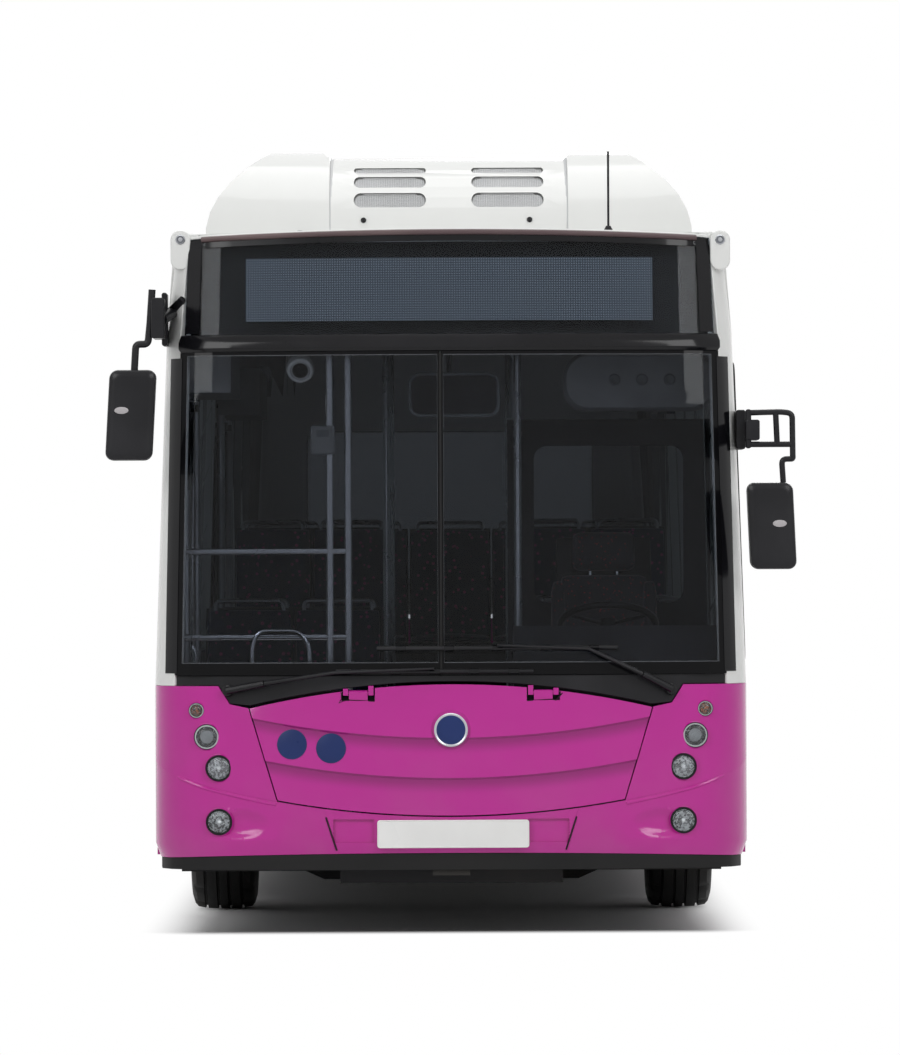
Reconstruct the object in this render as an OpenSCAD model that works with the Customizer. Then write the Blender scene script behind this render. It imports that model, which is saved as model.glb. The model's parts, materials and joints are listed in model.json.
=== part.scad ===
// Low-floor city bus. X points to the driver's side, the front faces -Y, the road is Z = 0.

/* [Body] */
// Length from the front panel to the rear panel
body_len = 12000; // [11600:50:12400]
// Width over the side walls at the skirts
body_w = 2550; // [2500:10:2600]
// Height of the roof skin along the middle
roof_z = 3040; // [3020:5:3080]
// Drop from the roof's middle to the eaves, where the side walls end
eave_drop = 80; // [72:1:100]
// Thickness of the side walls and the rear wall
wall_t = 60; // [50:2:80]
// Thickness of the roof
roof_t = 50; // [40:2:60]
// Bottom edge of the skirts
skirt_z = 345; // [330:5:360]
// Top edge of the coloured lower panels
waist_z = 1081; // [1060:5:1100]
// Inward lean of the walls at the foot of the sign
lean_mid = 50; // [30:5:60]
// Inward lean of the walls at the eaves
lean_top = 80; // [65:5:100]
// Height of the low floor
floor_z = 350; // [340:5:370]
// Thickness of the floor plates
floor_t = 40; // [30:5:50]
// Height of the raised deck over the rear axle
deck_z = 760; // [740:10:800]

/* [Front] */
// Radius of the bowed front in plan
bow_r = 6000; // [5000:100:8000]
// Radius of the front corners in plan
corner_r = 260; // [220:10:300]
// Set-back of the front between the bumper and the eaves
rake = 250; // [200:10:300]
// Thickness of the moulded front panels
panel_t = 30; // [24:2:40]
// Thickness of the pillars round the windscreen
mask_t = 60; // [50:2:70]
// Height of the seam over the bumper at the middle
seam_z = 521; // [500:5:540]
// Radius of the seam and of the creases seen from the front
seam_r = 4200; // [3600:100:5000]
// Height of the lower crease at the middle
crease_low_z = 687; // [670:5:700]
// Height of the upper crease at the middle
crease_high_z = 858; // [840:5:870]
// How far the crease edges stand proud
crease_h = 9; // [4:1:12]
// Height of the front flap's top edge at the middle
flap_top_z = 1086; // [1076:2:1090]
// Half width of the front flap at its top corners
flap_top_half = 863; // [850:5:880]
// Half width of the front flap at its lower corners
flap_low_half = 720; // [700:5:740]
// Bottom edge of the bumper at the middle
bumper_z = 367; // [355:2:375]
// Foot of the windscreen
screen_z = 1126; // [1120:2:1140]
// Height of the sign band from the foot of its dark ledge to the roof
sign_h = 526; // [510:2:540]
// Height of the ledge
ledge_h = 75; // [60:5:90]
// Half width of the windscreen at its foot
screen_half = 1184; // [1170:2:1190]
// Thickness of the windscreen and of the sign glass
glass_t = 12; // [8:1:16]

/* [Glazing] */
// Sill of the side windows
sill_z = 1180; // [1160:10:1260]
// Drop from the roof to the top of the side windows
head_drop = 580; // [540:10:640]
// Pitch of the side windows
window_pitch = 1500; // [1450:10:1520]
// Width of the posts between the side windows
post_w = 90; // [60:5:140]
// Thickness of the side panes
pane_t = 8; // [6:1:10]

/* [Wheels] */
// Distance between the axles
wheelbase = 5900; // [5800:20:6000]
// Distance from the front panel to the front axle
front_overhang = 2750; // [2700:10:2800]
// Outer diameter of the tyres
tyre_d = 1000; // [960:5:1010]
// Width of a tyre
tyre_w = 300; // [275:5:305]
// Diameter of the rim seat
rim_d = 572; // [540:2:590]
// Distance between the middles of the outer tyres
track = 2104; // [2080:2:2110]
// Distance between the middles of twin tyres
twin_pitch = 330; // [325:1:340]
// Radius of the wheel arches
arch_r = 600; // [596:2:620]
// Distance of the kingpin inside the middle of the front tyre
kingpin_offset = 150; // [140:5:160]

/* [Doors] */
// Clear width of a doorway
doorway_w = 1250; // [1220:10:1280]
// Drop from the roof to the top of the doorways
door_drop = 700; // [660:10:740]
// Start of the front doorway behind the front panel
front_door_from = 560; // [550:5:580]
// Start of the middle doorway behind the front axle
middle_door_from = 2550; // [2450:10:2650]
// Thickness of a door leaf
leaf_t = 38; // [34:1:42]
// Radius of the door posts
door_post_r = 20; // [16:1:22]
// Distance of the door post behind the leaf's middle plane
post_inset = 60; // [58:1:64]

/* [Roof fairing] */
// Height of the fairing pods above the roof
pod_h = 382; // [340:2:400]
// Outer half width of the pods at the roof
pod_half = 1061; // [1040:5:1080]
// Length of the fairing
pod_len = 4200; // [3600:50:4600]
// Distance from the front panel to the fairing's nose
pod_from = 700; // [650:10:800]
// Half width of the middle unit
unit_half = 515; // [500:5:530]

/* [Seats] */
// Width of a passenger seat
seat_w = 430; // [400:5:440]
// Height of a cushion above its floor
seat_h = 430; // [410:5:450]
// Depth of a cushion
seat_d = 420; // [400:5:440]
// Height of a seat back above its cushion
back_h = 620; // [560:10:660]
// Pitch of the seat rows
seat_pitch = 760; // [740:5:800]

/* [Hidden] */
// Clearance between seated pieces, between moving pieces, and the overrun of cuts
seat_clear = 0.3;
run_clear = 6;
over = 40;
$fn = 48;

// Places along the bus
half_w = body_w / 2;
eave_z = roof_z - eave_drop;
ledge_z = roof_z - sign_h;
head_z = roof_z - head_drop;
doorway_z = roof_z - door_drop;
pod_z = roof_z + pod_h;
y_front = -body_len / 2;
y_rear = body_len / 2;
axle_f = y_front + front_overhang;
axle_r = axle_f + wheelbase;
hub_z = tyre_d / 2;
front_depth = 520;
side_y = y_front + front_depth;
rake_z = 740;
rear_bow_r = 14000;
rear_corner_r = 170;
rear_rake = 90;
rear_depth = 380;
door_f = y_front + front_door_from;
door_m = axle_f + middle_door_from;
inner_w = half_w - wall_t;
rear_in = y_rear - rear_depth;
sign_z = ledge_z + ledge_h;

// Colours
paint = "white";
accent = [0.69, 0.18, 0.55];
dark = [0.08, 0.08, 0.09];
steel = [0.6, 0.6, 0.62];
smoke = [0.2, 0.22, 0.24];

// Half width of the body at height z
function half_at(z) = lookup(z, [[waist_z, half_w], [sign_z, half_w - lean_mid], [eave_z, half_w - lean_top]]);
function mix(a, b, t) = a + (b - a) * t;
function arc_len(r, a) = r * a * PI / 180;
function arc_deg(r, s) = s / r * 180 / PI;

// Plan of an end: a bow, a round corner and a straight side, measured by the way s along it.
// An end is [bow radius, corner radius, rake, depth].
front_end = [bow_r, corner_r, rake, front_depth];
back_end = [rear_bow_r, rear_corner_r, rear_rake, rear_depth];
function end_at(z, e) = y_front + e[2] * pow(max(0, z - rake_z) / (eave_z - rake_z), 3 / 2);
function bow_a(hw, e) = asin((hw - e[1]) / (e[0] - e[1]));
function bow_s(hw, e) = arc_len(e[0], bow_a(hw, e));
function corner_s(hw, e) = bow_s(hw, e) + arc_len(e[1], 90 - bow_a(hw, e));
function corner_y(hw, e) = e[0] - (e[0] - e[1]) * cos(bow_a(hw, e));
function plan(s, hw, y0, d, e) =
    let (t = abs(s), side = s < 0 ? -1 : 1, a1 = bow_a(hw, e))
    t <= bow_s(hw, e)
        ? let (a = arc_deg(e[0], t)) [side * (e[0] - d) * sin(a), y0 + e[0] - (e[0] - d) * cos(a)]
    : t <= corner_s(hw, e)
        ? let (a = a1 + arc_deg(e[1], t - bow_s(hw, e)))
          [side * (hw - e[1] + (e[1] - d) * sin(a)), y0 + corner_y(hw, e) - (e[1] - d) * cos(a)]
    : [side * (hw - d), y0 + corner_y(hw, e) + t - corner_s(hw, e)];
function surf(s, z, d, e = front_end) = let (p = plan(s, half_at(z), end_at(z, e), d, e)) [p[0], p[1], z];
// The way along an end at a given x, and at its straight edge towards the side walls
function way_x(x, z, e = front_end) =
    let (t = abs(x), hw = half_at(z), a1 = bow_a(hw, e), side = x < 0 ? -1 : 1)
    side * (t <= e[0] * sin(a1)
        ? arc_len(e[0], asin(t / e[0]))
        : bow_s(hw, e) + arc_len(e[1], asin(min(1, (t - hw + e[1]) / e[1])) - a1));
function way_end(z, e = front_end) =
    let (hw = half_at(z)) corner_s(hw, e) + y_front + e[3] - end_at(z, e) - corner_y(hw, e);

// Heights of the arched seams at the way s
function arch_z(s, z0) = z0 + seam_r - sqrt(seam_r * seam_r - s * s);
flap_drop = 101;
function flap_top(s) = flap_top_z - flap_drop * pow(s / flap_top_half, 2);
function flap_half(z) = mix(flap_low_half, flap_top_half, (z - seam_z) / (flap_top_z - flap_drop - seam_z));

// A curved front panel: rows are [height at s, outer depth] from low to high, between two edges.
// Its columns are at n equal steps or at the given shares of the way.
module skin(rows, left, right, n, t, e = front_end, column_shares = []) {
    m = len(rows) - 1;
    shares = len(column_shares) > 0 ? column_shares : [for (j = [0:n]) j / n];
    edge = function(f, r) f(r[0](f(r[0](f(r[0](0))))));
    ways = [for (r = rows) let (a = edge(left, r), b = edge(right, r)) [for (share = shares) mix(a, b, share)]];
    outer = [for (i = [0:m]) for (s = ways[i]) surf(s, rows[i][0](s), rows[i][1], e)];
    inner = [for (i = [0:m]) for (s = ways[i]) surf(s, rows[i][0](s), t, e)];
    k = n + 1;
    q = k * (m + 1);
    quads = concat(
        [for (i = [0:m - 1]) for (j = [0:n - 1])
            [i * k + j, (i + 1) * k + j, (i + 1) * k + j + 1, i * k + j + 1]],
        [for (i = [0:m - 1]) for (j = [0:n - 1])
            [q + i * k + j, q + i * k + j + 1, q + (i + 1) * k + j + 1, q + (i + 1) * k + j]],
        [for (j = [0:n - 1]) [j, j + 1, q + j + 1, q + j]],
        [for (j = [0:n - 1]) [m * k + j + 1, m * k + j, q + m * k + j, q + m * k + j + 1]],
        [for (i = [0:m - 1]) [(i + 1) * k, i * k, q + i * k, q + (i + 1) * k]],
        [for (i = [0:m - 1]) [i * k + n, (i + 1) * k + n, q + (i + 1) * k + n, q + i * k + n]]);
    polyhedron(concat(outer, inner), [for (f = quads) each [[f[0], f[1], f[2]], [f[0], f[2], f[3]]]]);
}

// Solids drawn along an axis, and copies on both sides
module along_y(y0, y1) {
    translate([0, y1, 0]) rotate([90, 0, 0]) linear_extrude(y1 - y0) children();
}
module along_x(x0, x1) {
    translate([x0, 0, 0]) rotate([90, 0, 90]) linear_extrude(x1 - x0) children();
}
module rod_x(x0, x1, r) {
    translate([x0, 0, 0]) rotate([0, 90, 0]) cylinder(h = x1 - x0, r = r);
}
module block(x, y, z) {
    translate([x[0], y[0], z[0]]) cube([x[1] - x[0], y[1] - y[0], z[1] - z[0]]);
}
module both_sides() {
    children();
    mirror([1, 0, 0]) children();
}
module rounded(x, y, r) {
    translate([x[0] + r, y[0] + r]) offset(r) square([x[1] - x[0] - 2 * r, y[1] - y[0] - 2 * r]);
}
// The region inside an end, inset by d, as seen from above
module end_region(z, d, back, e) {
    hw = half_at(z);
    n = 24;
    far = corner_s(hw, e);
    pts = [for (j = [-n:n]) plan(far * j / n, hw, end_at(z, e), d, e)];
    polygon(concat(pts, [[hw - d, back], [d - hw, back]]));
}

// Front panels
flap_gap = 6;
bumper_tuck = 22;
bumper_lip = 60;
trap_top_half = 544;
trap_low_half = 484;
trap_z = 555;
inset_x = [329, 505];
inset_z = [412, 512];
inset_depth = 14;
valance_z = 295;
valance_set = 24;
valance_t = 12;
screen_split = -40;
split_gap = 6;
disc_z = 892;
disc_r = 84;
disc_depth = 6;
corner_step_x = 1000;
corner_step_w = 50;
corner_low_z = 1003;
screen_lean = 24;
sign_half = 1141;
sign_lean = 16;
sign_rise = 28;
sign_set = 8;
sign_top_z = roof_z - sign_set;
rail_h = 14;
cowl_t = 45;
cowl_set = 10;
cowl_gap = 2;
ledge_proud = 14;
ledge_t = 50;
ledge_shares = [0.2, 0.6];
display_half = 880;
display_from = 57;
display_h = 272;
display_t = 20;
display_gap = 0.8;

function trap_half(z) = mix(trap_low_half, trap_top_half, (z - bumper_z) / (trap_z - bumper_z));
function corner_top(s) = lookup(abs(s),
    [[flap_top_half, flap_top(flap_top_half)], [corner_step_x - corner_step_w, corner_low_z],
     [corner_step_x, waist_z]]);
function bumper_low(s) = bumper_z - (bumper_z - skirt_z) * min(1, pow(s / half_w, 2));
function cowl_low(s) = abs(s) < flap_top_half
    ? flap_top(s) + 2 * run_clear
    : max(corner_top(s) + cowl_gap, flap_top(flap_top_half) + 2 * run_clear);
// Columns of the corner panels and of the cowl, with one at each kink of their common seam
corner_kinks = [corner_step_x - corner_step_w, corner_step_x];
function stretch(a, b, n) = [for (j = [1:n]) mix(a, b, j / n)];
function screen_edge(z) = way_x(screen_half - screen_lean * (z - screen_z) / (ledge_z - screen_z), z);
function sign_edge(z) = way_x(sign_half - sign_lean * (z - sign_z) / (sign_top_z - sign_z), z);
function sign_top(s) = sign_top_z - sign_rise * pow(s / sign_half, 2);
function level(z) = function(s) z;

module bumper() {
    color(accent) difference() {
        both_sides() skin(
            [[function(s) bumper_low(s), bumper_tuck],
             [function(s) bumper_low(s) + bumper_lip, 0],
             [function(s) arch_z(s, seam_z) - seat_clear, 0]],
            function(z) trap_half(z) + seat_clear, function(z) way_end(z), 20, panel_t + bumper_tuck);
        lamp_barrels(fog_lamps, seat_clear, over);
    }
    color(accent) difference() {
        skin(
            [[function(s) bumper_low(s), bumper_tuck],
             [function(s) bumper_low(s) + bumper_lip, 0],
             [function(s) arch_z(s, seam_z) - seat_clear, 0]],
            function(z) -trap_half(z), function(z) trap_half(z), 16, panel_t + bumper_tuck);
        both_sides() skin([for (z = inset_z) [level(z), -over]],
            function(z) inset_x[0], function(z) inset_x[1], 3, inset_depth);
    }
}
// Dark strip that closes the gap under the bumper
module valance() {
    color(dark) skin(
        [[level(valance_z), valance_set], [function(s) bumper_low(s) - seat_clear, valance_set]],
        function(z) -way_end(z), function(z) way_end(z), 28, valance_set + valance_t);
}
module front_corners() {
    a = flap_top_half + flap_gap;
    b = way_end(waist_z);
    ways = concat([a], corner_kinks, stretch(corner_step_x, b, 18));
    color(accent) difference() {
        both_sides() skin(
            [for (v = [0:3]) [function(s) mix(arch_z(s, seam_z), corner_top(s), v / 3), 0]],
            function(z) flap_half(z) + flap_gap, function(z) way_end(z), len(ways) - 1, panel_t,
            column_shares = [for (s = ways) (s - a) / (b - a)]);
        lamp_barrels(lamps, seat_clear, over);
    }
}
module front_flap_panel() {
    skin(
        [[function(s) arch_z(s, seam_z) + flap_gap, -crease_h / 2],
         [function(s) arch_z(s, crease_low_z) - crease_h, 0],
         [function(s) arch_z(s, crease_low_z), -crease_h],
         [function(s) arch_z(s, crease_high_z) - crease_h, 0],
         [function(s) arch_z(s, crease_high_z), -crease_h],
         [function(s) flap_top(s), 0]],
        function(z) -flap_half(z), function(z) flap_half(z), 24, panel_t);
}
module windscreen() {
    rows = 6;
    heights = [for (v = [0:rows]) [level(mix(screen_z + seat_clear, ledge_z - seat_clear, v / rows)), 0]];
    color(smoke) {
        skin(heights, function(z) -screen_edge(z), function(z) screen_split - split_gap / 2, 14, glass_t);
        skin(heights, function(z) screen_split + split_gap / 2, function(z) screen_edge(z), 14, glass_t);
    }
}
module cowl() {
    edge = screen_edge(screen_z);
    half = concat(corner_kinks, [edge]);
    ways = concat(
        [for (i = [2:-1:0]) -half[i]], [-flap_top_half], stretch(-flap_top_half, flap_top_half, 32), half);
    color(dark) skin(
        [[function(s) cowl_low(s), cowl_set], [level(screen_z), cowl_set]],
        function(z) -edge, function(z) edge, len(ways) - 1, cowl_t,
        column_shares = [for (s = ways) (s + edge) / (2 * edge)]);
}
module ledge() {
    edge = function(z) screen_edge(ledge_z);
    color(dark) skin(
        [[level(ledge_z), 0],
         [level(ledge_z + ledge_h * ledge_shares[0]), -ledge_proud],
         [level(ledge_z + ledge_h * ledge_shares[1]), -ledge_proud],
         [level(sign_z), 0]],
        function(z) -edge(z), edge, 28, ledge_t);
}
module sign_glass() {
    color(dark) skin(
        [for (v = [0:2]) [function(s) mix(sign_z + seat_clear, sign_top(s), v / 2), 0]],
        function(z) -sign_edge(z), function(z) sign_edge(z), 28, glass_t);
}
module sign_display() {
    z0 = sign_z + display_from;
    color(steel) skin(
        [[level(z0), glass_t + display_gap], [level(z0 + display_h), glass_t + display_gap]],
        function(z) -display_half, function(z) display_half, 24, glass_t + display_t);
}
// Pillars beside windscreen and sign, with the rail over the sign
module front_mask() {
    low = [for (v = [0:4]) mix(waist_z + seat_clear, ledge_z, v / 4)];
    color(paint) {
        both_sides() difference() {
            skin(
                concat([for (z = low) [level(z), 0]], [for (z = [sign_z, eave_z, sign_top_z]) [level(z), 0]]),
                function(z) (z <= ledge_z ? screen_edge(max(z, screen_z))
                    : z <= sign_z ? screen_edge(ledge_z) : sign_edge(z)) + seat_clear,
                function(z) way_end(z), 14, mask_t);
            block([0, half_w], [side_y - seat_clear, side_y + front_depth], [waist_z, roof_z]);
        }
        skin(
            [[function(s) sign_top(s) + seat_clear, 0], [function(s) sign_top(s) + rail_h, 0]],
            function(z) -sign_edge(sign_top_z), function(z) sign_edge(sign_top_z), 28, mask_t);
    }
}

// Lamps: [x, z, radius] of each lamp on one side
lamps = [[1089, 977, 30], [1045, 864, 50], [994, 730, 52]];
fog_lamps = [[993, 500, 52]];
lamp_depth = 90;
lamp_bulge = 6;
module lamp_barrels(table, grow, front) {
    both_sides() for (l = table) {
        y = surf(way_x(l[0], l[1]), l[1], 0)[1];
        translate([l[0], y + lamp_depth, l[1]]) rotate([90, 0, 0])
            cylinder(h = lamp_depth + front, r = l[2] + grow);
    }
}
module headlamps() {
    color("lightgray") lamp_barrels(concat(lamps, fog_lamps), 0, lamp_bulge);
}

// Side walls, roof and rear
eave_r = 70;
window_r = 60;
pane_set = 10;
box_t = 12;
wheel_swing = 345;
box_in = track / 2 - kingpin_offset - wheel_swing;
deck_from = 760;
step_y = axle_r - deck_from;
engine_share = 0.44;
engine_y = mix(axle_r, rear_in, engine_share);
engine_box_z = 1080;
roof_edge = half_w - lean_top;
roof_gap = 3;

module wall_section(d0, d1) {
    zs = [skirt_z, waist_z, sign_z, eave_z];
    polygon(concat([for (z = zs) [half_at(z) - d0, z]], [for (i = [3:-1:0]) [half_at(zs[i]) - d1, zs[i]]]));
}
// Opening over a wheel seen from the side
module arch_outline(y, r) {
    n = 32;
    polygon(concat([[y - r, 0]],
        [for (i = [n:-1:0]) let (a = 180 * i / n) [y + r * cos(a), hub_z + r * sin(a)]],
        [[y + r, 0]]));
}
module arches(r) {
    for (y = [axle_f, axle_r]) arch_outline(y, r);
}
// Window places: [from, to] along the bus on the driver's side and on the door side
window_from = side_y + post_w;
window_count = floor((rear_in - window_from) / window_pitch);
driver_windows = [for (i = [0:window_count - 1])
    [window_from + i * window_pitch, window_from + (i + 1) * window_pitch - post_w]];
door_f_end = door_f + doorway_w;
door_m_end = door_m + doorway_w;
front_bays = floor((door_m - door_f_end) / window_pitch);
front_bay = (door_m - door_f_end - post_w) / front_bays;
rear_bays = floor((rear_in - door_m_end) / window_pitch);
rear_bay = (rear_in - door_m_end - 2 * post_w) / rear_bays;
door_windows = concat(
    [for (i = [0:front_bays - 1]) [door_f_end + i * front_bay + post_w, door_f_end + (i + 1) * front_bay]],
    [for (i = [0:rear_bays - 1]) [door_m_end + i * rear_bay + post_w, door_m_end + (i + 1) * rear_bay]]);
module window_outlines(table, gap) {
    for (w = table) rounded([w[0] + gap, w[1] - gap], [sill_z + gap, head_z - gap], window_r);
}
module doorways() {
    for (y = [door_f, door_m]) translate([y, 0]) square([doorway_w, doorway_z]);
}
module wall_driver_side() {
    color(paint) difference() {
        along_y(side_y, rear_in) wall_section(0, wall_t);
        along_x(0, half_w + over) {
            arches(arch_r);
            window_outlines(driver_windows, 0);
        }
    }
}
module wall_door_side() {
    color(paint) difference() {
        mirror([1, 0, 0]) along_y(side_y, rear_in) wall_section(0, wall_t);
        along_x(-half_w - over, 0) {
            arches(arch_r);
            window_outlines(door_windows, 0);
            doorways();
        }
    }
}
module panes() {
    color(smoke) {
        intersection() {
            rear_skin(pane_set, pane_set + pane_t);
            along_y(0, y_rear) rear_window_outline(seat_clear);
        }
        intersection() {
            along_y(side_y, rear_in) wall_section(pane_set, pane_set + pane_t);
            along_x(0, half_w) window_outlines(driver_windows, seat_clear);
        }
        intersection() {
            mirror([1, 0, 0]) along_y(side_y, rear_in) wall_section(pane_set, pane_set + pane_t);
            along_x(-half_w, 0) window_outlines(door_windows, seat_clear);
        }
    }
}
// Roof skin over the walls, closed towards the front by the pillars
roof_rise = roof_z - eave_z - eave_r;
function roof_at(x) = let (c = roof_edge - eave_r, t = abs(x))
    t > c ? eave_z + sqrt(max(0, eave_r * eave_r - pow(t - c, 2)))
        : eave_z + eave_r + roof_rise * (1 - pow(t / c, 2));
module roof_section() {
    c = roof_edge - eave_r;
    n = 6;
    outer = concat([for (i = [0:n]) let (a = 90 * i / n) [c + eave_r * cos(a), eave_z + eave_r * sin(a)]],
        [for (i = [n - 1:-1:0]) [c * i / n, roof_at(c * i / n)]]);
    inner = concat([for (i = [0:n - 1]) [c * i / n, roof_at(c * i / n) - roof_t]],
        [[roof_edge - wall_t, eave_z + eave_r - roof_t], [roof_edge - wall_t, eave_z]]);
    half = concat(inner, outer);
    // The half outline starts and ends on the middle line, so its mirror image leaves out both ends
    polygon(concat(half, [for (i = [len(half) - 2:-1:1]) [-half[i][0], half[i][1]]]));
}
module roof() {
    color(paint) difference() {
        along_y(y_front, y_rear) roof_section();
        translate([0, 0, eave_z - over]) linear_extrude(roof_z) {
            difference() {
                translate([-body_w, y_front - over]) square([2 * body_w, front_depth + over]);
                end_region(roof_z, mask_t + roof_gap, side_y + over, front_end);
            }
            rotate(180) difference() {
                translate([-body_w, y_front - over]) square([2 * body_w, rear_depth + over]);
                end_region(roof_z, wall_t + roof_gap, y_front + rear_depth + over, back_end);
            }
        }
    }
}

// Rear panels: drawn like the front and turned round
rear_window_half = 850;
rear_window_foot = 1500;
rear_window_drop = 660;
rear_window_z = [rear_window_foot, roof_z - rear_window_drop];
engine_flap_half = 930;
engine_flap_z = [470, 1290];
rear_lamp_x = 1105;
rear_lamp_r = 55;
rear_lamp_zs = [820, 960, 1100, 1240];
high_lamp_drop = 320;
high_lamp_z = roof_z - high_lamp_drop;
function rear_top(s) = let (x = abs(plan(s, roof_edge, 0, 0, back_end)[0]))
    x < roof_edge - seat_clear ? roof_at(x) : eave_z;
module rear_lamp_barrels(grow, out) {
    rotate([0, 0, 180]) both_sides() for (z = concat(rear_lamp_zs, [high_lamp_z])) {
        y = surf(way_x(rear_lamp_x, z, back_end), z, 0, back_end)[1];
        translate([rear_lamp_x, y + lamp_depth, z]) rotate([90, 0, 0])
            cylinder(h = lamp_depth + out, r = rear_lamp_r + grow);
    }
}
module rear_window_outline(gap) {
    rounded([gap - rear_window_half, rear_window_half - gap], [rear_window_z[0] + gap, rear_window_z[1] - gap],
        window_r);
}
module rear_skin(d0, d1) {
    zs = [skirt_z, waist_z, sign_z, eave_z];
    rotate([0, 0, 180]) skin(
        concat([for (z = zs) [level(z), d0]], [[function(s) rear_top(s) + seat_clear, d0]]),
        function(z) -way_end(z, back_end), function(z) way_end(z, back_end), 40, d1, back_end);
}
module rear_end() {
    color(paint) difference() {
        rear_skin(0, wall_t);
        along_y(0, y_rear + over) rear_window_outline(0);
        along_y(0, y_rear + over) engine_outline(0);
        rear_lamp_barrels(seat_clear, over);
    }
}
module engine_outline(gap) {
    translate([gap - engine_flap_half, engine_flap_z[0] + gap])
        square([2 * (engine_flap_half - gap), engine_flap_z[1] - engine_flap_z[0] - 2 * gap]);
}
module rear_lamps() {
    color("red") rear_lamp_barrels(0, lamp_bulge);
}

// Flap hinges: pins on lugs, carried by the bodywork over each flap
hinge_from = 330;
hinge_w = 130;
hinge_lug_w = 22;
hinge_pin_r = 6;
hinge_knuckle_r = 11;
hinge_set = 14;
hinge_bay_h = 34;
hinge_tail = 10;
rear_hinge_from = 560;
rear_flap_gap = 24;
flap_hinge_x = hinge_from + hinge_w / 2;
flap_hinge_z = flap_top(flap_hinge_x) - hinge_set;
flap_hinge_y = surf(flap_hinge_x, flap_hinge_z, hinge_set)[1];
rear_hinge_z = engine_flap_z[1] - rear_flap_gap - hinge_set;
rear_hinge_y = -surf(rear_hinge_from + hinge_w / 2, rear_hinge_z, hinge_set, back_end)[1];

// One hinge seen at its axis: the fixed pin with two lugs that rise by h at their inner and outer end
module hinge_fixed(x0, h) {
    rod_x(x0, x0 + hinge_w, hinge_pin_r);
    for (i = [0, 1]) {
        x = i == 0 ? x0 : x0 + hinge_w - hinge_lug_w;
        block([x, x + hinge_lug_w], [-hinge_knuckle_r, hinge_knuckle_r], [-hinge_knuckle_r, h[i]]);
    }
}
module hinge_moving(x0) {
    a = x0 + hinge_lug_w + run_clear / 2;
    b = x0 + hinge_w - hinge_lug_w - run_clear / 2;
    difference() {
        union() {
            rod_x(a, b, hinge_knuckle_r);
            block([a, b], [-hinge_knuckle_r, hinge_knuckle_r], [-hinge_bay_h - hinge_tail, 0]);
        }
        rod_x(a - over, b + over, hinge_pin_r + seat_clear);
    }
}
module hinge_bay(x0) {
    block([x0 - run_clear, x0 + hinge_w + run_clear], [-2 * panel_t, 2 * panel_t], [-hinge_bay_h, panel_t * 3]);
}
module flap_hinges() {
    color(steel) {
        h = [for (x = [hinge_from, hinge_from + hinge_w])
            cowl_low(max(x, hinge_from + hinge_lug_w)) - seat_clear - flap_hinge_z];
        both_sides() translate([0, flap_hinge_y, flap_hinge_z]) hinge_fixed(hinge_from, h);
        k = engine_flap_z[1] - seat_clear - rear_hinge_z;
        both_sides() translate([0, rear_hinge_y, rear_hinge_z]) hinge_fixed(rear_hinge_from, [k, k]);
    }
}
module front_flap() {
    color(accent) {
        difference() {
            front_flap_panel();
            both_sides() translate([0, flap_hinge_y, flap_hinge_z]) hinge_bay(hinge_from);
            translate([0, y_front - over, disc_z]) rotate([-90, 0, 0])
                cylinder(h = over + disc_depth, r = disc_r);
        }
        both_sides() translate([0, flap_hinge_y, flap_hinge_z]) hinge_moving(hinge_from);
    }
}
module engine_flap() {
    color(accent) {
        difference() {
            intersection() {
                rear_skin(0, panel_t);
                along_y(0, y_rear + over) difference() {
                    engine_outline(run_clear);
                    translate([-body_w, engine_flap_z[1] - rear_flap_gap]) square([2 * body_w, over]);
                }
            }
            both_sides() translate([0, rear_hinge_y, rear_hinge_z]) hinge_bay(rear_hinge_from);
        }
        both_sides() translate([0, rear_hinge_y, rear_hinge_z]) hinge_moving(rear_hinge_from);
    }
}

// Floors and wheel boxes
floor_low = floor_z - floor_t;
floor_from = 330;
floor_front = y_front + floor_from;
deck_t = floor_t;
step_count = 2;
step_tread = 280;
steps_y = step_y - step_count * step_tread;
module box_cuts(gap) {
    for (side = [-1, 1]) {
        x = [box_in - box_t - gap, half_w];
        along_x(side < 0 ? -x[1] : x[0], side < 0 ? -x[0] : x[1]) arches(arch_r + box_t + gap);
    }
}
module low_floor() {
    color("dimgray") difference() {
        translate([0, 0, floor_low]) linear_extrude(floor_t) intersection() {
            end_region(waist_z, wall_t + seat_clear, step_y, front_end);
            translate([-inner_w, floor_front]) square([2 * inner_w, step_y - floor_front]);
        }
        box_cuts(seat_clear);
    }
}
module rear_deck() {
    w = half_at(engine_box_z) - wall_t - seat_clear;
    y = [step_y + seat_clear, engine_y, rear_in];
    rise = (deck_z - floor_z) / (step_count + 1);
    color("dimgray") {
        difference() {
            along_x(-w, w) polygon([[y[0], floor_low], [y[0], deck_z], [y[1] - deck_t, deck_z],
                [y[1] - deck_t, engine_box_z], [y[2], engine_box_z], [y[2], engine_box_z - deck_t],
                [y[1], engine_box_z - deck_t], [y[1], deck_z - deck_t], [y[0] + deck_t, deck_z - deck_t],
                [y[0] + deck_t, floor_low]]);
            box_cuts(seat_clear);
        }
        // Steps in the aisle, up to the deck
        along_x(-aisle_half, aisle_half) polygon(concat(
            [[y[0] + deck_t / 2, floor_z + seat_clear]],
            [for (i = [step_count:-1:1]) each let (z = deck_z - i * rise)
                [[step_y - i * step_tread, i == step_count ? floor_z + seat_clear : z - rise],
                 [step_y - i * step_tread, z]]],
            [[y[0] + deck_t / 2, deck_z - rise]]));
    }
}
axle_gap = 40;
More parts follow.
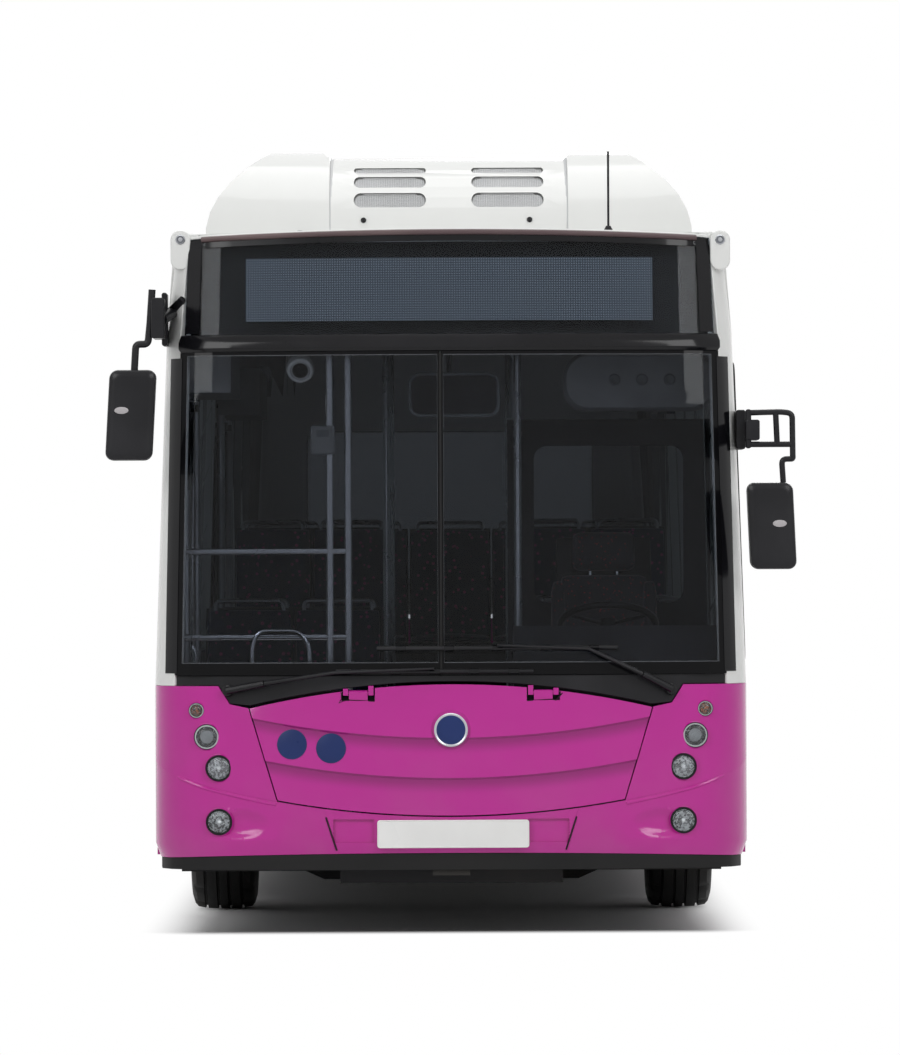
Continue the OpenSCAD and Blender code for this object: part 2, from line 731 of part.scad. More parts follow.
module wheel_boxes() {
    outer = half_at(hub_z + arch_r + box_t) - wall_t - seat_clear;
    r = rear_tube_r + axle_gap;
    color(dark) both_sides() difference() {
        along_x(box_in - box_t, outer) arches(arch_r + box_t);
        along_x(box_in, half_w) arches(arch_r);
        block([0, half_w], [y_front, y_rear], [-over, floor_low]);
        // Opening round the rear axle
        translate([0, axle_r, hub_z]) {
            rod_x(0, box_in + over, r);
            block([0, box_in + over], [-r, r], [-hub_z, 0]);
        }
    }
}

// Chassis: two rails with cross members, tow brackets at both ends
rail_x = 400;
rail_w = 80;
rail_z = 225;
tow_r = 20;
tow_t = 40;
tow_w = 160;
tow_in = 120;
tow_z = floor_low - tow_t;
jack_y = -1500;
jack_l = 140;
jack_h = 12;
cross_end = 650;
cross_count = 10;
cross_pitch = (body_len - 2 * cross_end) / (cross_count - 1);
cross_ys = [for (i = [0:cross_count - 1]) y_front + cross_end + i * cross_pitch];
module chassis_frame() {
    color(dark) difference() {
        union() {
            both_sides() {
                block([rail_x, rail_x + rail_w], [floor_front, rear_in], [rail_z, floor_low]);
                block([rail_x, rail_x + rail_w], [jack_y - jack_l / 2, jack_y + jack_l / 2],
                    [rail_z - jack_h, floor_low]);
            }
            for (y = cross_ys)
                block([-inner_w + over, inner_w - over], [y, y + rail_w], [rail_z + tow_t, floor_low]);
            for (y = [floor_front, rear_in - rail_w])
                block([-rail_x - rail_w, rail_x + rail_w], [y, y + rail_w], [rail_z, floor_low]);
            block([-tow_w / 2, tow_w / 2], [y_front + tow_in - tow_w / 2, floor_front + rail_w],
                [tow_z, tow_z + tow_t]);
            block([-tow_w / 2, tow_w / 2], [rear_in - rail_w, y_rear - tow_in + tow_w / 2],
                [tow_z, tow_z + tow_t]);
        }
        both_sides() for (y = [axle_f, axle_r])
            block([box_in - 2 * box_t, half_w], [y - arch_r - 2 * box_t, y + arch_r + 2 * box_t], [0, floor_z]);
        for (y = [y_front + tow_in, y_rear - tow_in])
            translate([0, y, 0]) cylinder(h = floor_z, r = tow_r);
    }
}

// Axles, knuckles and wheels
kingpin_x = track / 2 - kingpin_offset;
kingpin_r = 30;
boss_r = 60;
boss_h = 140;
lug_t = 40;
web_t = 18;
stub_r = 45;
beam_w = 100;
beam_z = [135, 215];
beam_drop_x = [590, 680];
arm_half = 55;
rear_tube_r = 75;
diff_r = 190;
saddle_w = 120;
rim_t = 14;
rim_half_share = 0.367;
rim_half = tyre_w * rim_half_share;
hub_r = 110;
rear_hub_r = 140;
rim_disc_t = 16;
hole_ring_share = 0.68;
hole_r = 26;
hole_count = 10;
front_disc_w = 70;
rear_disc_w = 60;
hub_cap_w = 125;
hub_in_w = 58;

// Half section of a tyre: [share of the height from rim to tread, share of the half width]
tyre_shares = [[0, 0.72], [0.06, 0.86], [0.3, 0.98], [0.45, 1], [0.7, 0.96], [0.9, 0.9], [0.97, 0.8], [1, 0.66]];
module tyre() {
    r0 = rim_d / 2;
    h = tyre_d / 2 - r0;
    side = [for (p = tyre_shares) [r0 + h * p[0], tyre_w / 2 * p[1]]];
    rotate([0, 90, 0]) rotate_extrude() polygon(concat(
        side, [for (i = [len(side) - 1:-1:0]) [side[i][0], -side[i][1]]]));
}
// Barrel and disc of a rim in half section, the disc's outer face at height w
module rim_section(w, hub) {
    r = rim_d / 2 - seat_clear;
    translate([r - rim_t, -rim_half]) square([rim_t, 2 * rim_half]);
    polygon([[hub - rim_t, w], [hub - rim_t, w - rim_disc_t], [hub, w - rim_disc_t],
        [r - rim_t / 2, w - 2 * rim_disc_t], [r - rim_t / 2, w - rim_disc_t], [hub + rim_disc_t, w]]);
}
module rim_holes(w) {
    r = rim_d / 2 * hole_ring_share;
    for (i = [0:hole_count - 1]) rotate(360 * i / hole_count)
        translate([r, 0, w - 4 * rim_disc_t]) cylinder(h = 6 * rim_disc_t, r = hole_r);
}
module front_rim() {
    rotate([0, 90, 0]) difference() {
        union() {
            rotate_extrude() rim_section(front_disc_w, hub_r);
            translate([0, 0, -hub_in_w]) cylinder(h = hub_in_w + hub_cap_w, r = hub_r);
        }
        rim_holes(front_disc_w);
        translate([0, 0, -hub_in_w - over])
            cylinder(h = hub_in_w + over + front_disc_w, r = stub_r + seat_clear);
    }
}
module rear_rim() {
    rotate([0, 90, 0]) difference() {
        union() {
            rotate_extrude() rim_section(-rear_disc_w, rear_hub_r);
            translate([0, 0, -twin_pitch]) mirror([0, 0, 1]) rotate_extrude()
                rim_section(-rear_disc_w, rear_hub_r);
            translate([0, 0, -twin_pitch - hub_in_w]) cylinder(h = twin_pitch + 2 * hub_in_w, r = rear_hub_r);
        }
        rim_holes(-rear_disc_w);
        translate([0, 0, -twin_pitch - hub_in_w - over])
            cylinder(h = twin_pitch + hub_in_w + over + rim_disc_t, r = rear_tube_r + seat_clear);
    }
}
module at_front(side) {
    translate([side * track / 2, axle_f, hub_z]) scale_side(side) children();
}
module at_rear(side) {
    translate([side * track / 2, axle_r, hub_z]) scale_side(side) children();
}
module scale_side(side) {
    if (side < 0) mirror([1, 0, 0]) children();
    else children();
}
module tyre_front_left() { color(dark) at_front(-1) tyre(); }
module tyre_front_right() { color(dark) at_front(1) tyre(); }
module tyres_rear_left() { color(dark) at_rear(-1) for (i = [0, 1]) translate([-i * twin_pitch, 0, 0]) tyre(); }
module tyres_rear_right() { color(dark) at_rear(1) for (i = [0, 1]) translate([-i * twin_pitch, 0, 0]) tyre(); }
module rim_front_left() { color(steel) at_front(-1) front_rim(); }
module rim_front_right() { color(steel) at_front(1) front_rim(); }
module rim_rear_left() { color(steel) at_rear(-1) rear_rim(); }
module rim_rear_right() { color(steel) at_rear(1) rear_rim(); }

// Steering knuckle: kingpin, two lugs round the axle's eye, a web and the stub axle
module knuckle() {
    lug = boss_h / 2 + run_clear;
    pin = lug + lug_t;
    x = kingpin_offset;
    translate([-x, 0, 0]) {
        translate([0, 0, -pin]) cylinder(h = 2 * pin, r = kingpin_r);
        for (s = [-1, 1]) translate([0, 0, s > 0 ? lug : -pin]) {
            cylinder(h = lug_t, r = boss_r);
            block([0, boss_r + run_clear + web_t], [-boss_r, boss_r], [0, lug_t]);
        }
        block([boss_r + run_clear, boss_r + run_clear + web_t], [-boss_r, boss_r], [-pin, pin]);
        rod_x(boss_r + run_clear, x + front_disc_w - run_clear, stub_r);
        block([-boss_r / 2, 0], [boss_r / 2, boss_r * 3], [-pin, lug_t - pin]);
    }
}
module knuckle_left() { color(steel) at_front(-1) knuckle(); }
module knuckle_right() { color(steel) at_front(1) knuckle(); }
module front_axle() {
    z0 = beam_z[0];
    z1 = beam_z[1];
    eye = kingpin_x - kingpin_r;
    half = [[0, z0], [beam_drop_x[0], z0], [beam_drop_x[1], z0 + (z1 - z0) / 2], [beam_drop_x[1], hub_z - arm_half],
        [eye, hub_z - arm_half], [eye, hub_z + arm_half], [beam_drop_x[0], hub_z + arm_half], [beam_drop_x[0], z1],
        [0, z1]];
    color(dark) difference() {
        union() {
            both_sides() translate([0, axle_f, 0]) {
                along_y(-beam_w / 2, beam_w / 2) polygon(half);
                translate([kingpin_x, 0, hub_z - boss_h / 2]) cylinder(h = boss_h, r = boss_r);
                block([rail_x, rail_x + rail_w], [-beam_w / 2, beam_w / 2], [z0, rail_z - seat_clear]);
            }
        }
        both_sides() translate([kingpin_x, axle_f, 0]) cylinder(h = tyre_d, r = kingpin_r + seat_clear);
    }
}
module rear_axle() {
    end = track / 2 - rear_disc_w;
    n = 12;
    bulb = asin(rear_tube_r / diff_r);
    color(dark) translate([0, axle_r, 0]) {
        translate([0, 0, hub_z]) rotate([0, 90, 0]) rotate_extrude() polygon(concat(
            [[0, -end], [rear_tube_r, -end]],
            [for (i = [0:n]) let (a = mix(bulb, 180 - bulb, i / n)) [diff_r * sin(a), -diff_r * cos(a)]],
            [[rear_tube_r, end], [0, end]]));
        both_sides() block([rail_x, rail_x + rail_w], [-saddle_w / 2, saddle_w / 2],
            [floor_low + seat_clear, hub_z - rear_tube_r / 2]);
    }
}
module engine_block() {
    color("dimgray") {
        block([-engine_half, engine_half], [engine_y + engine_gap, rear_in - rail_w - engine_gap],
            [floor_low, engine_top_z]);
    }
}
engine_half = 450;
engine_gap = 60;
engine_top_z = 980;

// Doors: two leaves in each doorway, each pivoted on an arm that swings on a post behind the jamb
leaf_tail = 14;
leaf_lead = 4;
roller_in = 25;
// Distance of the leaf's tail edge from the post's axis, so that the tail passes the post
tail_in = 40;
post_from = leaf_tail - tail_in;
arm_len = (doorway_w / 2 - post_from - roller_in) / 2;
arm_t = 18;
arm_r = 18;
arm_gap = 6;
// The arms swing below and above the leaf
leaf_gap = arm_t + 2 * arm_gap;
leaf_low = floor_z + leaf_gap;
leaf_high = doorway_z - leaf_gap;
leaf_frame = 55;
leaf_glass_t = 14;
pivot_r = 12;
post_rise = 60;
bracket_r = 26;
bracket_t = 26;
low_arm_z = floor_z + arm_gap;
high_arm_z = doorway_z - arm_gap - arm_t;
// [Arm's height, bracket's low and high edge, pin's low and high end] at the foot and at the head
hinge_levels = [
    [low_arm_z, low_arm_z + arm_t + seat_clear, leaf_low + bracket_t, low_arm_z, leaf_low + bracket_t],
    [high_arm_z, leaf_high - bracket_t, high_arm_z - seat_clear, leaf_high - bracket_t, high_arm_z + arm_t]
];
leaf_x = -half_at(doorway_z) + leaf_t / 2 + run_clear;
post_x = leaf_x + post_inset;

// A door's own frame: origin at the jamb, +Y towards the doorway's middle, +X into the bus
module at_jamb(y, dir) {
    translate([0, y, 0]) scale_end(dir) children();
}
module scale_end(dir) {
    if (dir < 0) mirror([0, 1, 0]) children();
    else children();
}
module leaf_outline(gap) {
    rounded([leaf_tail + gap, doorway_w / 2 - leaf_lead - gap], [leaf_low + gap, leaf_high - gap],
        leaf_frame / 2);
}
module door_leaf() {
    pivot_y = post_from + arm_len;
    along_x(leaf_x - leaf_t / 2, leaf_x + leaf_t / 2) difference() {
        leaf_outline(0);
        leaf_outline(leaf_frame);
    }
    along_x(leaf_x - leaf_glass_t / 2, leaf_x + leaf_glass_t / 2) leaf_outline(leaf_frame - leaf_glass_t);
    // Brackets with the pivot eyes, inside at the foot and at the head
    for (l = hinge_levels) difference() {
        union() {
            translate([post_x, pivot_y, l[1]]) cylinder(h = l[2] - l[1], r = bracket_r);
            block([leaf_x, post_x], [pivot_y - bracket_r, pivot_y + bracket_r], [l[1], l[2]]);
        }
        translate([post_x, pivot_y, l[1] - over])
            cylinder(h = l[2] - l[1] + 2 * over, r = pivot_r + seat_clear);
    }
}
module door_arm() {
    color(steel) {
        translate([post_x, post_from, floor_z + seat_clear])
            cylinder(h = doorway_z - floor_z + post_rise, r = door_post_r);
        for (l = hinge_levels) {
            translate([post_x - arm_r, post_from, l[0]]) cube([2 * arm_r, arm_len, arm_t]);
            translate([post_x, post_from + arm_len, l[0]]) cylinder(h = arm_t, r = arm_r);
            translate([post_x, post_from + arm_len, l[3]]) cylinder(h = l[4] - l[3], r = pivot_r);
        }
    }
}
module leaf_front_a() { color(smoke) at_jamb(door_f, 1) door_leaf(); }
module leaf_front_b() { color(smoke) at_jamb(door_f_end, -1) door_leaf(); }
module leaf_middle_a() { color(smoke) at_jamb(door_m, 1) door_leaf(); }
module leaf_middle_b() { color(smoke) at_jamb(door_m_end, -1) door_leaf(); }
module arm_front_a() { at_jamb(door_f, 1) door_arm(); }
module arm_front_b() { at_jamb(door_f_end, -1) door_arm(); }
module arm_middle_a() { at_jamb(door_m, 1) door_arm(); }
module arm_middle_b() { at_jamb(door_m_end, -1) door_arm(); }
// Housing over each doorway that holds the upper ends of the posts
housing_h = 240;
housing_w = 200;
housing_end = 60;
module door_housings() {
    x0 = -half_at(doorway_z + housing_h) + wall_t + seat_clear;
    x1 = post_x + housing_w;
    z = [doorway_z + run_clear, doorway_z + housing_h];
    color("lightgray") for (y = [door_f, door_m]) difference() {
        union() {
            block([x0, x1], [y, y + doorway_w], z);
            block([x0 + run_clear, x1], [y - housing_end, y + doorway_w + housing_end], z);
        }
        for (j = [post_from, doorway_w - post_from]) translate([post_x, y + j, doorway_z])
            cylinder(h = post_rise + over, r = door_post_r + seat_clear);
    }
}

// Roof fairing: two side pods and the middle unit with its vents
pod_y = y_front + pod_from;
pod_top_half = 780;
pod_in_half = 555;
pod_edge = 30;
nose_len = 520;
unit_drop = 24;
unit_z = pod_z - unit_drop;
vent_x = [100, 415];
vent_depth = 40;
vent_end_share = 0.49;
// Foot and head of each row of vents, as shares of the middle unit's height
vent_shares = [[0.33, 0.51], [0.58, 0.72], [0.77, 0.84]];
function pod_lean(z) = mix(pod_half, pod_top_half, pow((z - roof_z) / (pod_z - roof_z), 2));
// Rounded nose of the fairing, seen from the side
function nose_y(z, top) = pod_y + nose_len * (1 - sqrt(1 - pow((z - roof_z) / (top - roof_z), 2)));
module nose_outline(top) {
    n = 10;
    h = top - roof_z;
    polygon(concat([[pod_y + pod_len, roof_z - over], [pod_y, roof_z - over]],
        [for (i = [0:n]) let (z = roof_z + h * sin(90 * i / n)) [nose_y(z, top), z]],
        [[pod_y + pod_len - nose_len / 2, top], [pod_y + pod_len, top - h / 2]]));
}
module pod_section() {
    n = 6;
    x = unit_half + run_clear;
    polygon(concat([[x, roof_z - over], [x, pod_z - pod_edge], [pod_in_half, pod_z]],
        [for (i = [n:-1:0]) let (z = mix(roof_z - over, pod_z, i / n)) [pod_lean(max(z, roof_z)), z]]));
}
module roof_pods() {
    color(paint) both_sides() difference() {
        intersection() {
            along_y(pod_y, pod_y + pod_len) pod_section();
            along_x(0, half_w) nose_outline(pod_z);
        }
        along_y(pod_y - over, pod_y + pod_len + over) roof_underside();
    }
}
// Everything below the roof's surface, a seating clearance higher
module roof_underside() {
    n = 12;
    c = roof_edge - eave_r;
    polygon(concat(
        [for (i = [-n:n]) [c * i / n, roof_at(c * i / n) + seat_clear]], [[c, eave_z], [-c, eave_z]]));
}
module roof_unit() {
    color(paint) difference() {
        intersection() {
            along_y(pod_y, pod_y + pod_len)
                translate([-unit_half, roof_z - over]) square([2 * unit_half, pod_z]);
            along_x(-half_w, half_w) nose_outline(unit_z);
        }
        along_y(pod_y - over, pod_y + pod_len + over) roof_underside();
        both_sides() for (v = vent_shares) {
            z = [for (share = v) mix(roof_z, unit_z, share)];
            along_y(pod_y - over, nose_y(z[1], unit_z) + vent_depth)
                rounded(vent_x, z, (z[1] - z[0]) * vent_end_share);
        }
    }
}
antenna_x = 690;
antenna_r = 5;
antenna_base_r = 22;
antenna_from = 420;
antenna_y = y_front + antenna_from;
antenna_h = 340;
module antenna() {
    z0 = roof_at(antenna_x) + seat_clear;
    color(dark) translate([antenna_x, antenna_y, z0]) {
        cylinder(h = antenna_base_r, r1 = antenna_base_r, r2 = antenna_r * 2);
        cylinder(h = roof_z + antenna_h - z0, r = antenna_r);
    }
}

// Mirrors: each head's x range and its drops below the roof, and the drops of the tubes and feet that carry it
function below_roof(drops) = [for (d = drops) roof_z - d];
door_mirror_x = [-1475, -1250];
door_mirror_drops = [993, 606];
door_foot_drops = [449, 270];
driver_mirror_x = [1265, 1475];
driver_mirror_drops = [1469, 1104];
driver_foot_drops = [957, 784];
driver_tube_drops = [933, 807];
door_mirror = [door_mirror_x, below_roof(door_mirror_drops)];
driver_mirror = [driver_mirror_x, below_roof(driver_mirror_drops)];
mirror_d = 110;
mirror_r = 40;
mirror_from = 130;
mirror_y = y_front + mirror_from;
mirror_tube_r = 16;
mirror_bend = 60;
tube_sides = 10;
module mirror_head(m) {
    along_y(mirror_y, mirror_y + mirror_d) rounded(m[0], m[1], mirror_r);
}
// A path with its corners rounded by a cut-back of r, as points
function unit(v) = v / norm(v);
function round_path(p, r) = [for (i = [0:len(p) - 1]) each
    i == 0 || i == len(p) - 1 ? [p[i]]
    : let (a = p[i] + r * unit(p[i - 1] - p[i]), b = p[i] + r * unit(p[i + 1] - p[i]))
      [for (t = [0, 1 / 4, 1 / 2, 3 / 4, 1]) mix(mix(a, p[i], t), mix(p[i], b, t), t)]];
// A round tube swept along points that stay clear of the direction ref
module sweep(p, r, ref, sides = tube_sides) {
    n = len(p) - 1;
    pts = [for (i = [0:n])
        let (t = unit(p[min(i + 1, n)] - p[max(i - 1, 0)]), u = unit(cross(ref, t)), w = cross(t, u))
        for (k = [0:sides - 1]) let (a = 360 * k / sides) p[i] + r * (cos(a) * u + sin(a) * w)];
    walls = [for (i = [0:n - 1]) for (k = [0:sides - 1])
        let (a = i * sides + k, b = i * sides + (k + 1) % sides)
        each [[a, b + sides, b], [a, a + sides, b + sides]]];
    caps = [[for (k = [0:sides - 1]) k], [for (k = [sides - 1:-1:0]) n * sides + k]];
    polyhedron(pts, concat(walls, caps));
}
module mirror_door_side() {
    y = mirror_y + mirror_d / 2;
    foot = below_roof(door_foot_drops);
    z = (foot[0] + foot[1]) / 2;
    mid = (door_mirror[0][0] + door_mirror[0][1]) / 2;
    color(dark) {
        mirror_head(door_mirror);
        mirror([1, 0, 0]) {
            path = [[-mid, y, door_mirror[1][1] + seat_clear], [-mid, y, z], pillar_foot(z)];
            sweep(round_path(path, mirror_bend), mirror_tube_r, [0, 1, 0]);
            mirror_foot(foot);
        }
    }
}
// Point just outside the pillar at height z, on the driver's side
foot_way = 90;
function pillar_foot(z) = surf(corner_s(half_at(z), front_end) - foot_way, z,
    -mirror_tube_r * cos(180 / tube_sides) - seat_clear);
module mirror_driver_side() {
    y = mirror_y + mirror_d / 2;
    x = driver_mirror[0][1] - mirror_r;
    z = below_roof(driver_tube_drops);
    color(dark) {
        mirror_head(driver_mirror);
        path = [[x, y, driver_mirror[1][1] + seat_clear], [x, y, z[1]], pillar_foot(z[1])];
        sweep(round_path(path, mirror_bend), mirror_tube_r, [0, 1, 0]);
        sweep([[x, y, z[0]], pillar_foot(z[0])], mirror_tube_r, [0, 1, 0]);
        mirror_foot(below_roof(driver_foot_drops));
    }
}
// Upright foot that clamps a mirror's tube to its pillar, at the heights z
module mirror_foot(z) {
    n = 4;
    sweep([for (i = [0:n]) pillar_foot(mix(z[0], z[1], i / n))], mirror_tube_r, [0, 1, 0]);
}

// Wipers: [pivot x, blade's ends x] on the glass; the arm ends on the blade's back
wiper_r = 12;
wiper_pivot_d = 20;
wiper_gap = 0.8;
wiper_z = 1215;
wiper_lift = 34;
wiper_places = [[938, -310, 720], [-950, -980, -20]];
module wipers() {
    n = 12;
    up = [0, 1, 0];
    color(dark) for (w = wiper_places) {
        mid = (w[1] + w[2]) / 2;
        z = screen_z - wiper_pivot_d;
        on = function(x, z, d) surf(way_x(x, z), z, d);
        sweep([for (i = [0:n]) on(mix(w[1], w[2], i / n), wiper_z, -wiper_r - wiper_gap)], wiper_r, up);
        sweep(round_path([on(w[0], z, cowl_set - wiper_gap), on(w[0], z, -wiper_lift),
            on(mid, wiper_z, -3 * wiper_r - wiper_gap - seat_clear)], wiper_lift / 2), wiper_r, [0, 0, 1]);
    }
}

// Driver's place
platform_h = 230;
platform_x = 260;
platform_set = 20;
platform_past = 40;
platform_y = [floor_front + platform_set, door_f_end + platform_past];
platform_z = floor_z + platform_h;
platform_t = 30;
side_gap = 10;
module driver_platform() {
    x = [platform_x, inner_w - side_gap];
    color("dimgray") difference() {
        block(x, platform_y, [floor_z, platform_z]);
        block([x[0] + platform_t, x[1] - platform_t], [platform_y[0] + platform_t, platform_y[1] - platform_t],
            [floor_z - over, platform_z - platform_t]);
    }
}
dash_z = [640, 1330];
dash_d = 560;
dash_top_d = 330;
dash_gap = 110;
dash_foot = 150;
dash_knee = 80;
dash_lip = [220, 120];
shelf_z = [1000, 1060];
shelf_d = 170;
wheel_x = 690;
wheel_tilt = 25;
wheel_r = 225;
wheel_rim_r = 16;
wheel_from = 860;
wheel_y = y_front + wheel_from;
wheel_z = 1330;
column_r = 40;
module dashboard() {
    y = y_front + dash_gap;
    foot = platform_y[0] + side_gap;
    color(dark) {
        intersection() {
            union() {
                along_x(platform_x + side_gap, inner_w - side_gap) polygon([
                    [foot, platform_z], [foot + dash_foot, platform_z], [y + dash_top_d, dash_z[0] + dash_knee],
                    [y + dash_d, dash_z[1] - dash_lip[0]], [y + dash_d, dash_z[1] - dash_lip[1]],
                    [y + dash_top_d, dash_z[1]], [y, shelf_z[1]], [y, shelf_z[0]]]);
                block([-inner_w, platform_x + 2 * side_gap], [y, y + shelf_d], shelf_z);
            }
            linear_extrude(dash_z[1] + over) end_region(waist_z, dash_gap, 0, front_end);
        }
        // Steering column, from the platform to just under the wheel
        difference() {
            translate([wheel_x, wheel_y, wheel_z]) rotate([-wheel_tilt, 0, 0])
                translate([0, 0, -wheel_z]) cylinder(h = wheel_z - wheel_rim_r * 2 - seat_clear, r = column_r);
            block([0, half_w], [y_front, 0], [-half_w, platform_z]);
        }
    }
}
module steering_wheel() {
    color(dark) translate([wheel_x, wheel_y, wheel_z]) rotate([-wheel_tilt, 0, 0]) {
        rotate_extrude() translate([wheel_r - wheel_rim_r, 0]) circle(wheel_rim_r);
        translate([0, 0, -wheel_rim_r * 2]) cylinder(h = wheel_rim_r * 3, r = column_r);
        for (a = [0, 120, 240]) rotate([0, 90, a + 90])
            cylinder(h = wheel_r - wheel_rim_r, r = wheel_rim_r / 2);
    }
}
// A seat in side view: cushion and back in one bent shell, given as shares of depth and height
seat_t = 60;
back_lean = 90;
module seat_profile(d, h, t, lean) {
    polygon([[0, 0], [d, 0], [d + lean, h], [d + lean + t, h], [d + t, -t], [0, -t], [-t / 2, -t / 2]]);
}
driver_seat_w = 480;
driver_reach = 260;
driver_seat_h = 430;
driver_back_h = 770;
driver_seat_y = wheel_y + driver_reach;
driver_seat_z = platform_z + driver_seat_h;
pedestal_w = 300;
module driver_seat() {
    x = wheel_x - driver_seat_w / 2;
    color("dimgray") {
        translate([0, driver_seat_y, driver_seat_z]) along_x(x, x + driver_seat_w)
            seat_profile(seat_d, driver_back_h, 2 * seat_t, back_lean);
        block([wheel_x - pedestal_w / 2, wheel_x + pedestal_w / 2],
            [driver_seat_y + seat_t, driver_seat_y + seat_t + pedestal_w], [platform_z, driver_seat_z - seat_t]);
    }
}
partition_t = 30;
partition_drop = 790;
partition_z = roof_z - partition_drop;
partition_sill = 1420;
partition_rim = 120;
partition_window = [partition_sill, partition_z - partition_rim];
module partition() {
    x = [platform_x, half_at(partition_z) - wall_t - seat_clear];
    y = platform_y[1] + seat_clear;
    color("lightgray") along_y(y, y + partition_t) difference() {
        translate([x[0], floor_z]) square([x[1] - x[0], partition_z - floor_z]);
        rounded([x[0] + window_r * 2, x[1] - window_r * 2], partition_window, window_r);
    }
}

// Passenger seats: [side, y of the cushion's front, floor height]
row_gap = 260;
deck_row_gap = 320;
deck_pitch = 800;
low_rows = [for (i = [0:3]) axle_f + arch_r + row_gap + i * seat_pitch];
deck_count = floor((engine_y - deck_t - step_y - deck_row_gap) / deck_pitch);
deck_rows = [for (i = [0:1:deck_count - 1]) step_y + deck_row_gap + i * deck_pitch];
seat_rows = concat(
    [for (y = low_rows) [1, y, floor_z]],
    [for (i = [0:1]) [-1, low_rows[i], floor_z]],
    [for (y = deck_rows) for (s = [-1, 1]) [s, y, deck_z]]);
leg_w = 60;
aisle_half = 330;
module seat_pair(z) {
    x1 = inner_w - lean_mid / 2;
    x0 = x1 - 2 * seat_w;
    translate([0, 0, z + seat_h]) along_x(x0, x1) seat_profile(seat_d, back_h, seat_t, back_lean);
    block([x0 + leg_w, x0 + 2 * leg_w], [seat_d / 2 - leg_w, seat_d / 2 + leg_w], [z, z + seat_h - seat_t / 2]);
}
bench_h = 110;
module passenger_seats() {
    color("steelblue") {
        for (r = seat_rows) scale_side(r[0]) translate([0, r[1], 0]) seat_pair(r[2]);
        w = half_at(engine_box_z + back_h) - wall_t - side_gap;
        translate([0, engine_y, engine_box_z + bench_h]) along_x(-w, w)
            seat_profile(seat_d, back_h, bench_h, back_lean);
    }
}
// Handrails: stanchions and a long rail on each side of the aisle
stanchion_r = 17;
stanchion_x = aisle_half - stanchion_r - side_gap;
rail_r = 14;
rail_drop = 1090;
rail_height = roof_z - rail_drop;
stanchion_set = 40;
stanchion_pitch = 950;
stanchion_ys = [for (i = [0:3]) low_rows[0] - stanchion_set + i * stanchion_pitch];
// Rails across the entrance behind the windscreen, and the pole beside the driver's platform
entrance_y = y_front + antenna_from;
entrance_xs = [-520, -440];
entrance_zs = [1285, 1656];
// The rails' ends stop short where the pillar's inner face bends in
rail_set = 5.3;
cab_pole = [platform_x + stanchion_set, wheel_y + driver_reach];
module stanchion(x, y, foot) {
    translate([x, y, foot]) cylinder(h = roof_at(x) - roof_t - seat_clear - foot, r = stanchion_r);
}
module handrails() {
    color("silver") {
        for (side = [-1, 1]) scale_side(side) {
            for (y = stanchion_ys) stanchion(stanchion_x, y, floor_z);
            translate([stanchion_x, stanchion_ys[0], rail_height]) rotate([-90, 0, 0])
                cylinder(h = stanchion_ys[3] - stanchion_ys[0], r = rail_r);
        }
        for (x = entrance_xs) stanchion(x, entrance_y, floor_z);
        for (z = entrance_zs) translate([0, entrance_y, z])
            rod_x(mask_t + rail_set - half_at(z), entrance_xs[1], rail_r);
        stanchion(cab_pole[0], cab_pole[1], platform_z);
    }
}
inside_mirror_x = [-170, 210];
inside_mirror_drops = [800, 620];
inside_mirror = [inside_mirror_x, below_roof(inside_mirror_drops)];
inside_mirror_from = 400;
inside_mirror_t = 40;
inside_stem_r = 12;
module interior_mirror() {
    y = y_front + inside_mirror_from;
    z0 = inside_mirror[1][1] - mirror_r;
    color(dark) {
        along_y(y, y + inside_mirror_t) rounded(inside_mirror[0], inside_mirror[1], mirror_r);
        translate([0, y + inside_mirror_t / 2, z0])
            cylinder(h = roof_at(0) - roof_t - seat_clear - z0, r = inside_stem_r);
    }
}

chassis_frame();
low_floor();
rear_deck();
wheel_boxes();
wall_driver_side();
wall_door_side();
roof();
rear_end();
front_mask();
sign_glass();
sign_display();
ledge();
windscreen();
cowl();
front_corners();
bumper();
valance();
headlamps();
wipers();
mirror_door_side();
mirror_driver_side();
roof_pods();
roof_unit();
antenna();
panes();
rear_lamps();
flap_hinges();
front_flap();
engine_flap();
driver_platform();
dashboard();
driver_seat();
partition();
passenger_seats();
handrails();
interior_mirror();
engine_block();
rear_axle();
front_axle();
knuckle_left();
knuckle_right();
tyre_front_left();
tyre_front_right();
tyres_rear_left();
tyres_rear_right();
rim_front_left();
rim_front_right();
rim_rear_left();
rim_rear_right();
leaf_front_a();
leaf_front_b();
leaf_middle_a();
leaf_middle_b();
arm_front_a();
arm_front_b();
arm_middle_a();
arm_middle_b();
door_housings();
steering_wheel();
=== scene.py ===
# %% [markdown]
# # A city bus, dressed in Blender
# The solids of the bus come in as a fixed frame, in metres, with the front facing -Y and the road at Z = 0.
# This lesson gives every solid a finish and adds the small pieces that make the bus look real.

# %% Load the frame
import json
import math

import bmesh
import bpy
from mathutils import Matrix, Vector
from mathutils.bvhtree import BVHTree


